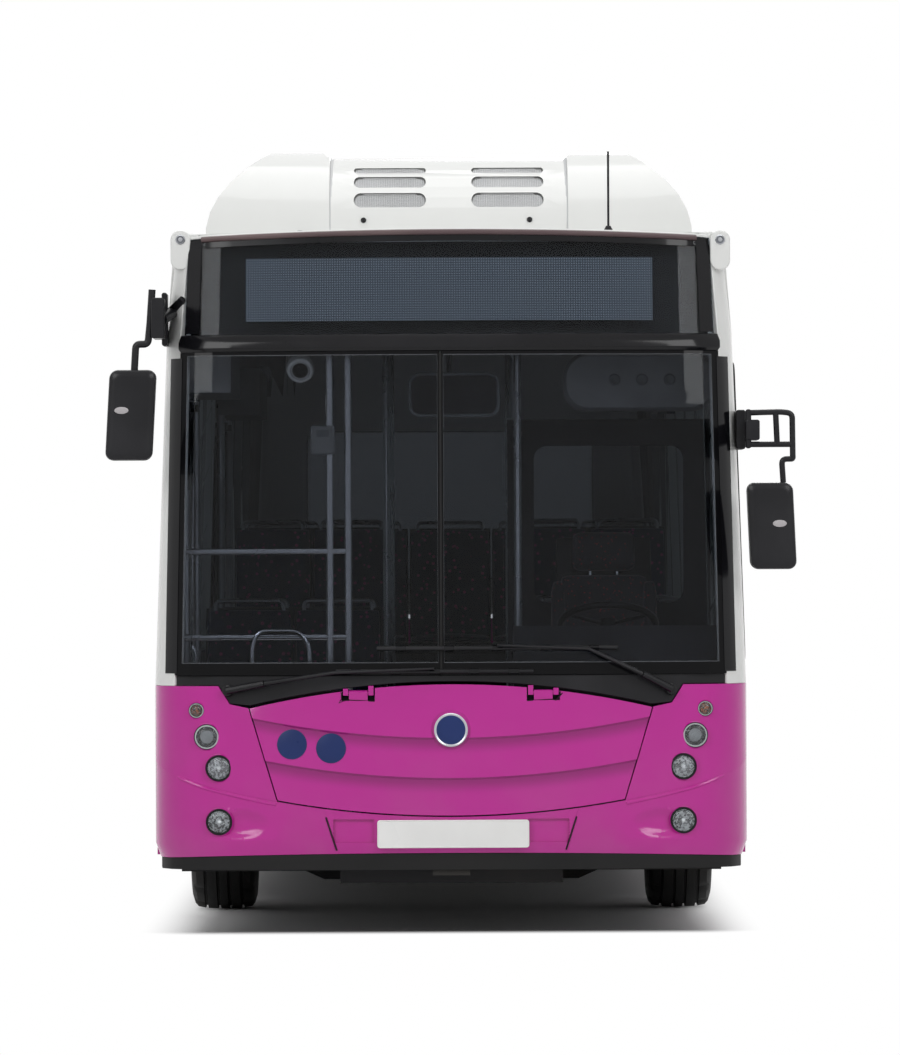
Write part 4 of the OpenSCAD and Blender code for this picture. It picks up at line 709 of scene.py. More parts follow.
# %% [markdown]
# Small pieces are laid on the solids, so their places are found by rays: from far in front or far behind, a ray along the
# bus meets a solid at a place across and up.

# %% Places on the solids
FAR = 9.0
AHEAD = Vector((0.0, 1.0, 0.0))


def surface(*names):
    """A search tree over solids, to find where a ray meets them."""
    verts, faces = [], []
    for name in names:
        start = len(verts)
        verts.extend(v.co.copy() for v in nodes[name].data.vertices)
        faces.extend(tuple(start + i for i in face.vertices) for face in nodes[name].data.polygons)
    return BVHTree.FromPolygons(verts, faces)


def span_of(points):
    """Low and high corner of points."""
    return tuple(Vector(pick(p[k] for p in points) for k in range(3)) for pick in (min, max))


def box_of(name):
    return span_of([v.co for v in nodes[name].data.vertices])


def ray_at(x, z, tree, way=1.0):
    """What a ray meets at a place across and up: from the front, or from behind with way -1."""
    return tree.ray_cast(Vector((x, -way * FAR, z)), AHEAD * way)


def front_at(x, z, tree):
    """The point and outward normal of the front at a place across and up."""
    for nudge in (0.0, 0.0006, -0.0006, 0.002, -0.002, 0.006, -0.006, 0.02, -0.02):
        point, normal, _, _ = ray_at(x + nudge, z + nudge, tree)
        if point is not None:
            return point, -normal if normal.y > 0.0 else normal
    raise ValueError("nothing in front at %.3f, %.3f" % (x, z))


def along_front(tree, places, off=(0.0, 0.0, 0.0)):
    """Points of the front at places across and up, each moved by an offset."""
    return [front_at(x, z, tree)[0] + Vector(off) for x, z in places]


def rear_at(x, z, tree):
    """The point of the rear at a place across and up."""
    for nudge in (0.0, 0.0007, -0.0007, 0.003, -0.003):
        point = ray_at(x + nudge, z + nudge, tree, -1.0)[0]
        if point is not None:
            return point
    raise ValueError("nothing behind at %.3f, %.3f" % (x, z))


def last_met(inner, outer, meets, steps):
    """The last value from inner towards outer that still meets something."""
    for _ in range(steps):
        middle = (inner + outer) / 2.0
        inner, outer = (middle, outer) if meets(middle) else (inner, middle)
    return inner


def edge_of(x, tree, z_in, z_out):
    """The height at which a surface ends, between a height on it and one beyond it."""
    return last_met(z_in, z_out, lambda z: ray_at(x, z, tree)[0] is not None, 18)


def side_edge(tree, side, z):
    """How far a surface reaches to one side at a height."""
    return last_met(0.9, 1.35, lambda x: ray_at(side * x, z, tree)[0] is not None, 16)


def sheet_on(tree, rows, lift=0.002):
    """A thin closed sheet laid on a surface through rows of (x, z) places."""
    top, foot = [], []
    for x, z in [place for row in rows for place in row]:
        hit, normal = front_at(x, z, tree)
        top.append(hit + normal * lift)
        foot.append(hit - normal * 0.0005)
    wide, tall, count = len(rows[0]), len(rows), len(top)
    cells = [(wide * i + j, wide * i + j + 1, wide * (i + 1) + j + 1, wide * (i + 1) + j)
             for i in range(tall - 1) for j in range(wide - 1)]
    rim = list(range(wide)) + [wide * i + wide - 1 for i in range(1, tall)]
    rim += [wide * (tall - 1) + j for j in range(wide - 2, -1, -1)] + [wide * i for i in range(tall - 2, 0, -1)]
    sides = [(rim[k], rim[k - 1], rim[k - 1] + count, rim[k] + count) for k in range(len(rim))]
    return top + foot, cells + [tuple(count + n for n in reversed(cell)) for cell in cells] + sides


flap_face, bumper_face, lamp_faces = surface("front_flap"), surface("bumper"), surface("headlamps")
screen_face, sign_face, mask_face = surface("windscreen"), surface("sign_glass"), surface("front_mask")
print("places can be found")

# %% [markdown]
# A headlamp is a cup turned round its axis: a rim, a bright bowl, a bulb with its shield, and a domed glass over it. The
# four lamps of a side differ in size and in what sits in the bowl.

# %% Headlamps
LAMP_BULGE = 0.006
# across, up, radius, kind
LAMPS_AT = [(1.089, 0.977, 0.030, "amber"), (1.045, 0.864, 0.050, "shielded"), (0.994, 0.730, 0.052, "ribbed"),
            (0.993, 0.500, 0.052, "clear")]
BULB_FINISH = {"amber": amber_lens, "shielded": gloss_black, "ribbed": plate_white, "clear": plate_white}
# profiles along the axis, with radii as shares of the lamp's radius
INNER_RING = [(0.001, 0.90), (0.008, 0.90), (0.008, 1.02), (0.001, 1.02)]
BULB = [(-0.038, 0.17), (-0.016, 0.17), (-0.010, 0.12), (-0.008, 0.04)]
SHIELD = [(-0.030, 0.50), (-0.012, 0.56), (-0.006, 0.40), (-0.004, 0.04)]
BLACK_RIM = [(-0.004, 1.02), (-0.004, 1.08), (0.007, 1.08), (0.008, 1.05), (0.007, 1.02)]
PAINTED_RIM = [(-0.008, 1.08), (-0.008, 1.16), (0.003, 1.18), (0.006, 1.12), (0.004, 1.08)]
CUP = [(-0.070, 0.04), (-0.070, 0.97), (0.004, 0.97), (0.007, 0.93), (0.003, 0.88), (-0.010, 0.80), (-0.024, 0.62),
       (-0.034, 0.38), (-0.038, 0.15), (-0.038, 0.04)]
TIP = 0.002


def scaled(profile, r):
    """A profile at its lamp's radius; what lies near the axis ends in a small tip."""
    return [(along, share * r if share > 0.04 else TIP) for along, share in profile]


def dome(r, rise):
    """A domed glass with two faces."""
    outer = [(0.002, 0.91 * r), (0.002 + 0.6 * rise, 0.66 * r), (0.002 + 0.9 * rise, 0.34 * r), (0.002 + rise, TIP)]
    inner = [(along - 0.002, radius * 0.985) for along, radius in outer]
    return inner[::-1] + outer


lamps, lamp_rims = Build("headlamp_units"), Build("headlamp_rims")
for side in SIDES:
    for x, z, r, kind in LAMPS_AT:
        place, axis = front_at(side * x, z, lamp_faces)
        place = place - axis * LAMP_BULGE
        lamps.add(revolve(scaled(CUP, r), place, axis), bowl)
        lamps.add(revolve(scaled(INNER_RING, r), place, axis, 40, True),
                  bare_steel if kind in ("amber", "shielded") else gloss_black)
        lamps.add(revolve(scaled(BULB, r), place, axis, 24), BULB_FINISH[kind])
        if kind == "shielded":
            lamps.add(revolve(scaled(SHIELD, r), place, axis, 32), lamp_grey)
        lamps.add(revolve(dome(r, 0.012), place, axis), ribbed_lens if kind == "ribbed" else clear_lens)
        lamp_rims.add(revolve(scaled(BLACK_RIM, r), place, axis, 40, True), gloss_black)
        lamp_rims.add(revolve(scaled(PAINTED_RIM, r), place, axis, 40, True), magenta_paint)
lamps.make("body", "lamp_glass", ["headlamps"])
lamp_rims.make("body", "magenta_paint")
print("lamps", 2 * len(LAMPS_AT))

# %% [markdown]
# Small things on the lower front: a blank plate with a thin rim, a plain disc in a silver ring on the flap, two blank
# blue discs, and fine joints of two small covers at the top of the flap. Each is laid on the surface it meets.

# %% Plate, discs and covers
PLATE_LOW, PLATE_HIGH = (-0.316, 0.389), (0.332, 0.508)
BADGE_X, BADGE_Z, BADGE_R = 0.0, 0.892, 0.072
DISC_R, DISCS_AT = 0.064, ((-0.679, 0.832), (-0.512, 0.815))

px, pz = ((low + high) / 2 for low, high in zip(PLATE_LOW, PLATE_HIGH))
pw, ph = ((high - low) / 2 for low, high in zip(PLATE_LOW, PLATE_HIGH))
plate_y = min(p.y for p in along_front(bumper_face, [(px, pz), (px, PLATE_HIGH[1]), (px, PLATE_LOW[1])]))
plate = Build("number_plate")
plate.add(loft([upright(px, plate_y + deep, pz, pw - inset, ph - inset, 0.012 - inset * 0.5) for deep, inset in (
    (0.012, 0.0), (-0.004, 0.0), (-0.006, 0.004), (-0.004, 0.006), (-0.004, 0.010))]), plate_white)
plate.make("body", "white_paint")

badge = Build("badge_disc")
place, normal = front_at(BADGE_X, BADGE_Z, flap_face)
badge.add(revolve([(-0.004, TIP), (-0.004, BADGE_R), (0.010, BADGE_R), (0.013, BADGE_R - 0.004),
                   (0.010, BADGE_R - 0.010)], place, normal, 48), disc_silver)
badge.add(revolve([(0.004, TIP), (0.004, BADGE_R - 0.009), (0.010, BADGE_R - 0.010), (0.013, BADGE_R * 0.5),
                   (0.014, TIP)], place, normal, 48), disc_blue)
badge.make("front_flap", "steel")

discs = Build("side_discs")
for x, z in DISCS_AT:
    place, normal = front_at(x, z, flap_face)
    discs.add(revolve([(-0.003, TIP), (-0.003, DISC_R), (0.002, DISC_R), (0.0026, DISC_R - 0.002), (0.0026, TIP)],
                      place, normal, 48), disc_blue)
discs.make("front_flap", "dark_glass")

covers = Build("flap_cover_joints")
for side in SIDES:
    inner, outer = ((side * x, edge_of(side * x, flap_face, 0.95, 1.2) - 0.002) for x in (0.325, 0.470))
    corners = [inner, (side * 0.455, 1.022), outer]
    places = [Vector(a).lerp(Vector(b), t) for a, b in zip(corners, corners[1:]) for t in spaced(0.0, 1.0, 7)]
    covers.add(tube(along_front(flap_face, places), 0.0022, 6), joint_dark)
covers.make("front_flap", "magenta_paint")
print("plate and discs laid on the front")

# %% [markdown]
# The big front pane has a printed black border, worked out from the place on the pane, and a rubber seal down its middle.

# %% Windscreen border and seal
BORDER_SIDE, BORDER_FOOT, BORDER_HEAD = 0.030, 0.050, 0.012
SPLIT_X, SPLIT_HALF = -0.040, 0.012
low, high = box_of("windscreen")


def half_width_at(z):
    return max(abs(v.co.x) for v in nodes["windscreen"].data.vertices if abs(v.co.z - z) < 0.03)


pane = Net(screen_glass.node_tree)
shader = pane.nodes["Principled BSDF"].inputs
axes = pane.axes()
x, z = axes["X"], axes["Z"]
half_low, half_high = half_width_at(low.z), half_width_at(high.z)
slope = (half_high - half_low) / (high.z - low.z)
edge = pane.math("ADD", pane.math("MULTIPLY", z, slope), half_low - slope * low.z)
inward = pane.math("SUBTRACT", edge, pane.math("ABSOLUTE", x))
from_split = pane.math("ABSOLUTE", pane.math("SUBTRACT", x, SPLIT_X))
at_side = pane.ramp(inward, BORDER_SIDE, BORDER_SIDE + 0.004, 1.0, 0.0)
at_foot = pane.ramp(z, low.z + BORDER_FOOT, low.z + BORDER_FOOT + 0.006, 1.0, 0.0)
at_head = pane.ramp(z, high.z - BORDER_HEAD - 0.006, high.z - BORDER_HEAD)
at_split = pane.ramp(from_split, SPLIT_HALF, SPLIT_HALF + 0.002, 1.0, 0.0)
printed = pane.math("MAXIMUM", pane.math("MAXIMUM", at_side, at_foot), pane.math("MAXIMUM", at_head, at_split))
tint = tuple(shader["Base Color"].default_value)
pane.put(shader["Base Color"], pane.mix(printed, tint, srgb(13, 13, 15)))
pane.put(shader["Transmission Weight"], pane.math("SUBTRACT", 1.0, printed))

seal = Build("screen_seals")
seal_places = [(SPLIT_X + 0.008, z) for z in spaced(low.z + 0.01, high.z - 0.01, 25)]
seal.add(tube(along_front(screen_face, seal_places, (-0.008, -0.001, 0.0)), 0.005, 8), rubber)
seal.make("body", "black_trim")
print("windscreen bordered and sealed")

# %% [markdown]
# The sign's pane has a black border along its top and sides, a lip over it, and a dark box behind it so that no daylight
# comes through.

# %% Sign
SIGN_PRINT, SIGN_DEEP = 0.042, 0.090
low, high = box_of("sign_glass")


def sign_top(x):
    return edge_of(x, sign_face, low.z + 0.12, high.z + 0.1)


sign_print, lip, sign_box = Build("sign_print"), Build("sign_lip"), Build("sign_box")
reach = side_edge(sign_face, 1.0, high.z - 0.12) - 0.010
top_line = [(x, sign_top(x)) for x in spaced(-reach, reach, 49)]
sign_print.add(sheet_on(sign_face, [[(x, top - down) for x, top in top_line] for down in (0.003, SIGN_PRINT)]), gloss_black)
for side in SIDES:
    side_rows = []
    for z in spaced(low.z + 0.006, high.z - 0.058, 17):
        edge = side_edge(sign_face, side, z)
        side_rows.append([(side * (edge - back), z) for back in (SIGN_PRINT + 0.02, 0.030, 0.003)])
    sign_print.add(sheet_on(sign_face, side_rows), gloss_black)
sign_print.make("body", "black_trim")

lip_places = [(x, sign_top(x) - 0.010) for x in spaced(low.x + 0.075, high.x - 0.075, 49)]
lip.add(tube(along_front(sign_face, lip_places, (0.0, -0.004, 0.006)), 0.012, 10), lip_brown)
lip.make("body", "black_trim")

pane_mesh = nodes["sign_glass"].data
back_verts = [v.co + Vector((0.0, SIGN_DEEP, 0.0)) for v in pane_mesh.vertices]
sign_box.add((back_verts, [tuple(face.vertices) for face in pane_mesh.polygons]), rubber)
sign_box.make("body", "black_trim")
print("sign bordered and backed")

# %% [markdown]
# Wipers: a jointed blade with a rubber edge lies along the glass, and a tapered arm with a spring cover holds it from a
# capped spindle on the cowl.

# %% Wipers
wipers = Build("wiper_set")
front_all = surface("windscreen", "cowl", "front_flap", "front_corners")
# pivot across and up, bend across, blade's height, blade from and to, arm's end
WIPERS = [(0.938, 1.060, 0.588, 1.240, -0.315, 0.715, 0.200), (-0.950, 1.060, -0.500, 1.142, -0.490, 0.353, -0.070)]
SPINDLE = [(-0.004, 0.026), (0.020, 0.026), (0.034, 0.023), (0.043, 0.012), (0.045, TIP)]
for pivot_x, pivot_z, bend_x, blade_z, blade_from, blade_to, arm_to in WIPERS:
    line = along_front(front_all, [(x, blade_z) for x in spaced(blade_from, blade_to, 21)])
    wipers.add(tube([p - AHEAD * 0.006 for p in line], 0.0045, 8, 2.2), rubber)
    wipers.add(tube([p - AHEAD * 0.018 for p in line], 0.0075, 8), black_trim)
    for i in (2, 6, 10, 14, 18):
        along = (line[i + 1] - line[i - 1]).normalized() * 0.022
        mid = line[i] - AHEAD * 0.016
        wipers.add(tube([mid - along, mid + along], 0.0115, 8), gloss_black)
    spindle, facing = front_at(pivot_x, pivot_z, front_all)
    head = spindle + facing * 0.030
    tip = front_at(arm_to, blade_z + 0.012, front_all)[0] - AHEAD * 0.032
    bend = front_at(bend_x, blade_z - 0.004, front_all)[0] - AHEAD * 0.045
    knee = head.lerp(bend, 0.35) + Vector((0.0, -0.018, 0.004))
    wipers.add(tube([head, knee], [0.026, 0.021], 10, 0.7), black_trim)
    wipers.add(tube([knee, bend, tip], [0.019, 0.013, 0.009], 10, 0.6), black_trim)
    wipers.add(revolve(SPINDLE, spindle, facing, 24), gloss_black)
wipers.make("body", "black_trim", ["wipers"])
print("wipers laid on the glass")

# %% [markdown]
# A mirror is a leaning case with soft edges, its glass on the rear side, a small oval boss, and jogged tubes that clamp
# blocks hold on the pillar. Both mirrors come from one table.

# %% Mirrors
CASE_FRONT, CASE_REAR = -5.870, -5.760
ARM_Y = (CASE_FRONT + CASE_REAR) / 2.0
# place along the bus, growth and corner radius of each outline
CASE_RINGS = [(CASE_FRONT - 0.010, -0.030, 0.024), (CASE_FRONT - 0.007, -0.014, 0.030), (CASE_FRONT + 0.002, -0.003, 0.034),
              (CASE_FRONT + 0.018, 0.0, 0.036), (CASE_REAR - 0.010, 0.0, 0.036), (CASE_REAR + 0.004, -0.001, 0.035),
              (CASE_REAR + 0.006, -0.006, 0.030)]
GLASS_RINGS = [(CASE_REAR + 0.003, -0.012, 0.026), (CASE_REAR + 0.0075, -0.012, 0.026), (CASE_REAR + 0.0085, -0.016, 0.026)]
BOSS_RINGS = [(1.0, 0.0), (1.0, 0.004), (0.86, 0.0055)]
BOSS_W, BOSS_H = 0.030, 0.015
MIRRORS = {
    "mirror_door_side": {
        "x": (-1.467, -1.267), "z": (2.049, 2.437), "lean": 0.055, "boss": (-1.405, 2.263), "radius": 0.0155,
        "bend": 0.020,
        "tubes": [[(-1.274, 2.782), (-1.284, 2.636), (-1.293, 2.548), (-1.345, 2.548), (-1.352, 2.430)]],
        "blocks": [((-1.278, -1.222), (2.573, 2.747), (-5.840, -5.600)),
                   ((-1.240, -1.216), (2.545, 2.775), (-5.660, -5.520))]},
    "mirror_driver_side": {
        "x": (1.280, 1.478), "z": (1.571, 1.944), "lean": -0.044, "boss": (1.412, 1.767), "radius": 0.0125,
        "bend": 0.045,
        "tubes": [[(1.286, 2.243), (1.425, 2.246), (1.470, 2.240), (1.472, 2.046)],
                  [(1.472, 2.060), (1.472, 2.044), (1.424, 2.044), (1.431, 1.935)],
                  [(1.292, 2.107), (1.472, 2.107)], [(1.399, 2.244), (1.405, 2.107)]],
        "blocks": [((1.270, 1.330), (2.125, 2.213), (-5.835, -5.620)),
                   ((1.270, 1.294), (2.090, 2.258), (-5.830, -5.780)),
                   ((1.236, 1.276), (2.089, 2.259), (-5.660, -5.440))]},
}
HORN_FOOT, HORN_PLACES = Vector((-1.245, -5.740, 2.655)), [(-1.197, 2.692), (-1.150, 2.748)]


def middle_half(span):
    return (span[0] + span[1]) / 2.0, (span[1] - span[0]) / 2.0


for name, row in MIRRORS.items():
    case = Build("case_" + name)
    (cx, hw), (cz, hh), (boss_x, boss_z) = middle_half(row["x"]), middle_half(row["z"]), row["boss"]
    for rings, finish in ((CASE_RINGS, black_trim), (GLASS_RINGS, mirror_face)):
        case.add(loft([[Vector((cx + u + row["lean"] * v, y, cz + v)) for u, v in round_rect(hw + grow, hh + grow, radius)]
                       for y, grow, radius in rings]), finish)
    case.add(loft([[Vector((boss_x + grow * BOSS_W * math.cos(a), CASE_FRONT - 0.008 - lift,
                            boss_z + grow * BOSS_H * math.sin(a))) for a in circle(28)] for grow, lift in BOSS_RINGS]),
             plate_grey)
    for path in row["tubes"]:
        case.add(tube(rounded_path([(x, ARM_Y, z) for x, z in path], row["bend"]), row["radius"]), black_trim)
    for across, tall, (y0, y1) in row["blocks"]:
        (bx, half_x), (bz, half_z) = middle_half(across), middle_half(tall)
        case.add(loft([upright(bx, y, bz, half_x - cut, half_z - cut, 0.010) for y, cut in (
            (y0, 0.003), (y0 + 0.004, 0.0), (y1 - 0.004, 0.0), (y1, 0.003))]), black_trim)
    if name == "mirror_door_side":
        horn = [HORN_FOOT] + along_front(mask_face, HORN_PLACES, (0.0, -0.016, 0.0))
        case.add(tube(horn, [0.034, 0.030, 0.016], 12, 0.8), black_trim)
    case.make("body", "black_trim", [name])
print("mirrors", len(MIRRORS))

# %% [markdown]
# A tyre is one section turned round the axle. Four grooves run round the tread, and the shoulders are cut into blocks by
# lowering every sixth step of the turn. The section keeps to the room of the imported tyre.

# %% Tyres
TURN_STEPS, BLOCK_STEPS, SHOULDER_CUT = 120, 6, 0.009
TYRE_R, TYRE_HALF = 0.500, 0.150
# along the axle, radius, whether blocks are cut there
HALF_SECTION = [(-0.100, 0.290, 0), (-0.118, 0.300, 0), (-0.128, 0.330, 0), (-0.143, 0.372, 0), (-0.1495, 0.412, 0),
                (-0.1470, 0.414, 0), (-0.1480, 0.440, 0), (-0.138, 0.474, 0), (-0.124, 0.490, 1), (-0.090, 0.4965, 1),
                (-0.087, 0.4840, 0), (-0.079, 0.4840, 0), (-0.076, 0.4985, 0), (-0.032, 0.5000, 0), (-0.029, 0.4860, 0),
                (-0.021, 0.4860, 0), (-0.018, 0.5000, 0)]
SECTION = HALF_SECTION + [(-along, radius, cut) for along, radius, cut in reversed(HALF_SECTION)]


def tyre_shape(centre_x, centre_y):
    verts = []
    for along, radius, cut in SECTION:
        for k, a in enumerate(circle(TURN_STEPS)):
            r = radius - (SHOULDER_CUT if cut and k % BLOCK_STEPS == 0 else 0.0)
            verts.append((centre_x + along, centre_y + r * math.cos(a), TYRE_R + r * math.sin(a)))
    return verts, walls(len(SECTION), TURN_STEPS, True)


def named(start):
    return [name for name in nodes if name.startswith(start)]


for name in named("tyre"):
    low, high = box_of(name)
    tread = Build("tread_" + name)
    for x in sorted({round(low.x + TYRE_HALF, 4), round(high.x - TYRE_HALF, 4)}):
        tread.add(tyre_shape(x, (low.y + high.y) / 2.0), tyre_rubber)
    tread.make(BODY_OF[name], "tyre", [name])
print("tyres turned")

# %% [markdown]
# Wheel nuts repeat round the hub, so a node tree makes them: points on a circle, a six-sided nut with a pointed end on
# each point, and the whole ring turned to face along the axle.

# %% Wheel nuts
WHOLE, FINISH_SOCKET = "NodeSocketInt", "NodeSocketMaterial"


def geometry_tree(name, inputs):
    """A geometry node tree with named inputs and one output."""
    tree = bpy.data.node_groups.new(name, "GeometryNodeTree")
    for label, kind, value in inputs:
        socket = tree.interface.new_socket(label, in_out="INPUT", socket_type=kind)
        if value is not None:
            socket.default_value = value
    tree.interface.new_socket("Geometry", in_out="OUTPUT", socket_type="NodeSocketGeometry")
    return tree, Net(tree), tree.nodes.new("NodeGroupInput").outputs, tree.nodes.new("NodeGroupOutput").inputs


def hand_out(net, geometry, finish, result):
    """Makes instances real, gives them their finish and puts them out."""
    real = net.node("GeometryNodeRealizeInstances", {"Geometry": geometry}).outputs[0]
    net.put(result["Geometry"], net.node("GeometryNodeSetMaterial", {"Geometry": real, "Material": finish}).outputs[0])


def grown(name, tree, **values):
    """Runs a node tree with the given inputs and returns the points and faces it makes."""
    holder = bpy.data.objects.new(name, bpy.data.meshes.new(name))
    scene.collection.objects.link(holder)
    modifier = holder.modifiers.new("tree", "NODES")
    modifier.node_group = tree
    for item in tree.interface.items_tree:
        if item.in_out == "INPUT" and item.name in values:
            modifier[item.identifier] = values[item.name]
    depsgraph = bpy.context.evaluated_depsgraph_get()
    mesh = bpy.data.meshes.new_from_object(holder.evaluated_get(depsgraph), depsgraph=depsgraph)
    bpy.data.objects.remove(holder)
    shape = ([v.co.copy() for v in mesh.vertices], [tuple(face.vertices) for face in mesh.polygons])
    bpy.data.meshes.remove(mesh)
    return shape


nut_tree, net, given, result = geometry_tree("nut ring", [
    ("Count", WHOLE, 10), ("Ring", NUMBER, 0.1675), ("Size", NUMBER, 0.018), ("Height", NUMBER, 0.022),
    ("Finish", FINISH_SOCKET, None)])
points = net.node("GeometryNodeMeshCircle", {"Vertices": given["Count"], "Radius": given["Ring"]}).outputs["Mesh"]
nut = net.node("GeometryNodeMeshCone", {
    "Vertices": 6, "Radius Bottom": given["Size"], "Radius Top": net.math("MULTIPLY", given["Size"], 0.86),
    "Depth": given["Height"]}).outputs["Mesh"]
end = net.node("GeometryNodeMeshCone", {
    "Vertices": 16, "Radius Bottom": net.math("MULTIPLY", given["Size"], 0.45), "Depth": given["Height"]}).outputs["Mesh"]
raised = net.node("GeometryNodeTransform", {"Geometry": end, "Translation": (0.0, 0.0, 0.018)}).outputs["Geometry"]
both = net.node("GeometryNodeJoinGeometry")
for part in (nut, raised):
    net.put(both.inputs[0], part)
ring = net.node("GeometryNodeInstanceOnPoints", {"Points": points, "Instance": both.outputs[0]}).outputs["Instances"]
hand_out(net, ring, given["Finish"], result)

NUT_RING = 0.1675
for name in named("rim"):
    low, high = box_of(name)
    centre = (low + high) / 2.0
    side = -1.0 if centre.x < 0.0 else 1.0
    found = surface(name).ray_cast(Vector((side * 3.0, centre.y + NUT_RING, TYRE_R)), Vector((-side, 0.0, 0.0)))[0]
    ring_verts, ring_faces = grown("nuts_" + name, nut_tree, Count=10, Ring=NUT_RING, Size=0.017, Height=0.020,
                                   Finish=bare_steel)
    turned = [Vector((found.x + side * v.z, centre.y + v.x, TYRE_R + v.y)) for v in ring_verts]
    Build("nuts_" + name).add((turned, ring_faces), bare_steel).make(BODY_OF[name], "steel")
print("wheel nuts set")

# %% [markdown]
# Seat cushions are padded: a rounded block whose upper side swells in the middle. Its edges are rounded by pushing points
# out from an inner block.

# %% Padded cushions
def cushion(low, high, edge, swell, across=10, along=10, up=6):
    """A rounded block between two corners that swells on its upper side."""
    low, high = Vector(low), Vector(high)
    mid, half = (low + high) / 2.0, (high - low) / 2.0
    index, verts, faces = {}, [], []

    def point(i, j, k):
        key = (i, j, k)
        if key not in index:
            q = Vector((2.0 * i / across - 1.0, 2.0 * j / along - 1.0, 2.0 * k / up - 1.0))
            p = Vector((q.x * half.x, q.y * half.y, q.z * half.z))
            inner = Vector((max(-half[n] + edge, min(half[n] - edge, p[n])) for n in range(3)))
            off = p - inner
            if off.length > 1e-9:
                p = inner + off.normalized() * edge
            p.z += swell * (1.0 - q.x * q.x) * (1.0 - q.y * q.y) * (1.0 if q.z > 0.0 else 0.0)
            index[key] = len(verts)
            verts.append(mid + p)
        return index[key]

    for i in range(across):
        for j in range(along):
            faces.append((point(i, j, 0), point(i, j + 1, 0), point(i + 1, j + 1, 0), point(i + 1, j, 0)))
            faces.append((point(i, j, up), point(i + 1, j, up), point(i + 1, j + 1, up), point(i, j + 1, up)))
    for k in range(up):
        for i in range(across):
            faces.append((point(i, 0, k), point(i + 1, 0, k), point(i + 1, 0, k + 1), point(i, 0, k + 1)))
            faces.append((point(i, along, k), point(i, along, k + 1), point(i + 1, along, k + 1),
                          point(i + 1, along, k)))
        for j in range(along):
            faces.append((point(0, j, k), point(0, j, k + 1), point(0, j + 1, k + 1), point(0, j + 1, k)))
            faces.append((point(across, j, k), point(across, j + 1, k), point(across, j + 1, k + 1),
                          point(across, j, k + 1)))
    return verts, faces


def slab(low, high, edge):
    """A thin rounded plate with no swell."""
    return cushion(low, high, edge, 0.0, 8, 8, 2)


BACK_H = 0.620
BACK_TURN = math.radians(90.0) - math.atan2(0.090, BACK_H)


def leaned(shape, foot):
    """A shape that lies flat, turned up to lean as a seat back on its foot."""
    spin = Matrix.Rotation(BACK_TURN, 3, "X")
    return [spin @ Vector(v) + Vector(foot) for v in shape[0]], shape[1]


def islands(name):
    """Low and high corner of each separate solid of a node, door side first and front to rear."""
    work = bmesh.new()
    work.from_mesh(nodes[name].data)
    bmesh.ops.remove_doubles(work, verts=work.verts, dist=MERGE)
    left, found = set(work.verts), []
    while left:
        start = left.pop()
        group, edge = [start], [start]
        while edge:
            for v in [v for link in edge.pop().link_edges for v in link.verts]:
                if v in left:
                    left.remove(v)
                    group.append(v)
                    edge.append(v)
        found.append(span_of([v.co for v in group]))
    work.free()
    return sorted(found, key=lambda span: (span[0].x > 0.0, span[0].y))


print("cushions ready")

# %% [markdown]
# Each passenger seat is a cushion and a back pad on moulded shells, with a steel rail over the back. Pairs stand on posts
# beside the aisle and hang on the wall; the five at the rear stand on one box.

# %% Passenger seats
SEAT_D = 0.420
seat_pads, seat_shells = Build("seat_cushions"), Build("seat_shells")


def one_seat(x0, x1, y0, z_top):
    """Cushion and back pad on moulded shells; the back leans over its foot."""
    half = (x1 - x0) / 2.0
    foot = Vector(((x0 + x1) / 2.0, y0 + SEAT_D + 0.022, z_top - 0.012))
    pad = cushion((x0 + 0.012, y0 - 0.020, z_top - 0.044), (x1 - 0.012, y0 + SEAT_D - 0.004, z_top - 0.010), 0.016, 0.016)
    back_pad = cushion((-half + 0.012, 0.0, -0.020), (half - 0.012, BACK_H - 0.006, 0.018), 0.018, 0.010)
    shell = slab((x0 + 0.004, y0 - 0.028, z_top - 0.060), (x1 - 0.004, y0 + SEAT_D + 0.03, z_top - 0.042), 0.0088)
    back_shell = slab((-half + 0.004, -0.030, -0.038), (half - 0.004, BACK_H + 0.010, -0.020), 0.0088)
    seat_pads.add(pad, seat_cloth).add(leaned(back_pad, foot), seat_cloth)
    seat_shells.add(shell, seat_shell).add(leaned(back_shell, foot), seat_shell)
    rail_foot, rail_top = BACK_H - 0.038, BACK_H + 0.042
    rail = [(-half + 0.05, rail_foot, -0.029), (-half + 0.05, rail_top, -0.029), (half - 0.05, rail_top, -0.029),
            (half - 0.05, rail_foot, -0.029)]
    seat_shells.add(leaned(tube(rounded_path(rail, 0.03), 0.011, 10), foot), rail_steel)


seat_count = 0
for low, high in islands("passenger_seats"):
    wide = high.x - low.x
    z_top = high.z - BACK_H
    bench = wide > 1.2
    y0 = low.y + (0.055 if bench else 0.030)
    places = 5 if bench else 2
    for i in range(places):
        one_seat(low.x + wide * i / places, low.x + wide * (i + 1) / places, y0, z_top)
    seat_count += places
    if bench:
        seat_shells.add(box_shape((low.x, y0 + 0.01, low.z), (high.x, y0 + SEAT_D + 0.05, z_top - 0.055)), dark_panel)
    else:
        aisle, wall = (low.x + 0.09, high.x) if low.x > 0.0 else (high.x - 0.09, low.x)
        for y in (y0 + 0.11, y0 + 0.31):
            seat_shells.add(tube([(aisle, y, low.z + 0.004), (aisle, y, z_top - 0.05)], 0.020, 14), rail_steel)
        seat_shells.add(box_shape((aisle - 0.045, y0 + 0.07, low.z), (aisle + 0.045, y0 + 0.35, low.z + 0.012)),
                        bare_steel)
        seat_shells.add(tube([(aisle, y0 + 0.21, z_top - 0.075), (wall, y0 + 0.21, z_top - 0.075)], 0.016, 12), bare_steel)
pads = seat_pads.make("body", "seat_fabric", ["passenger_seats"])
seat_shells.make("body", "inner_panel")
print("seats", seat_count)

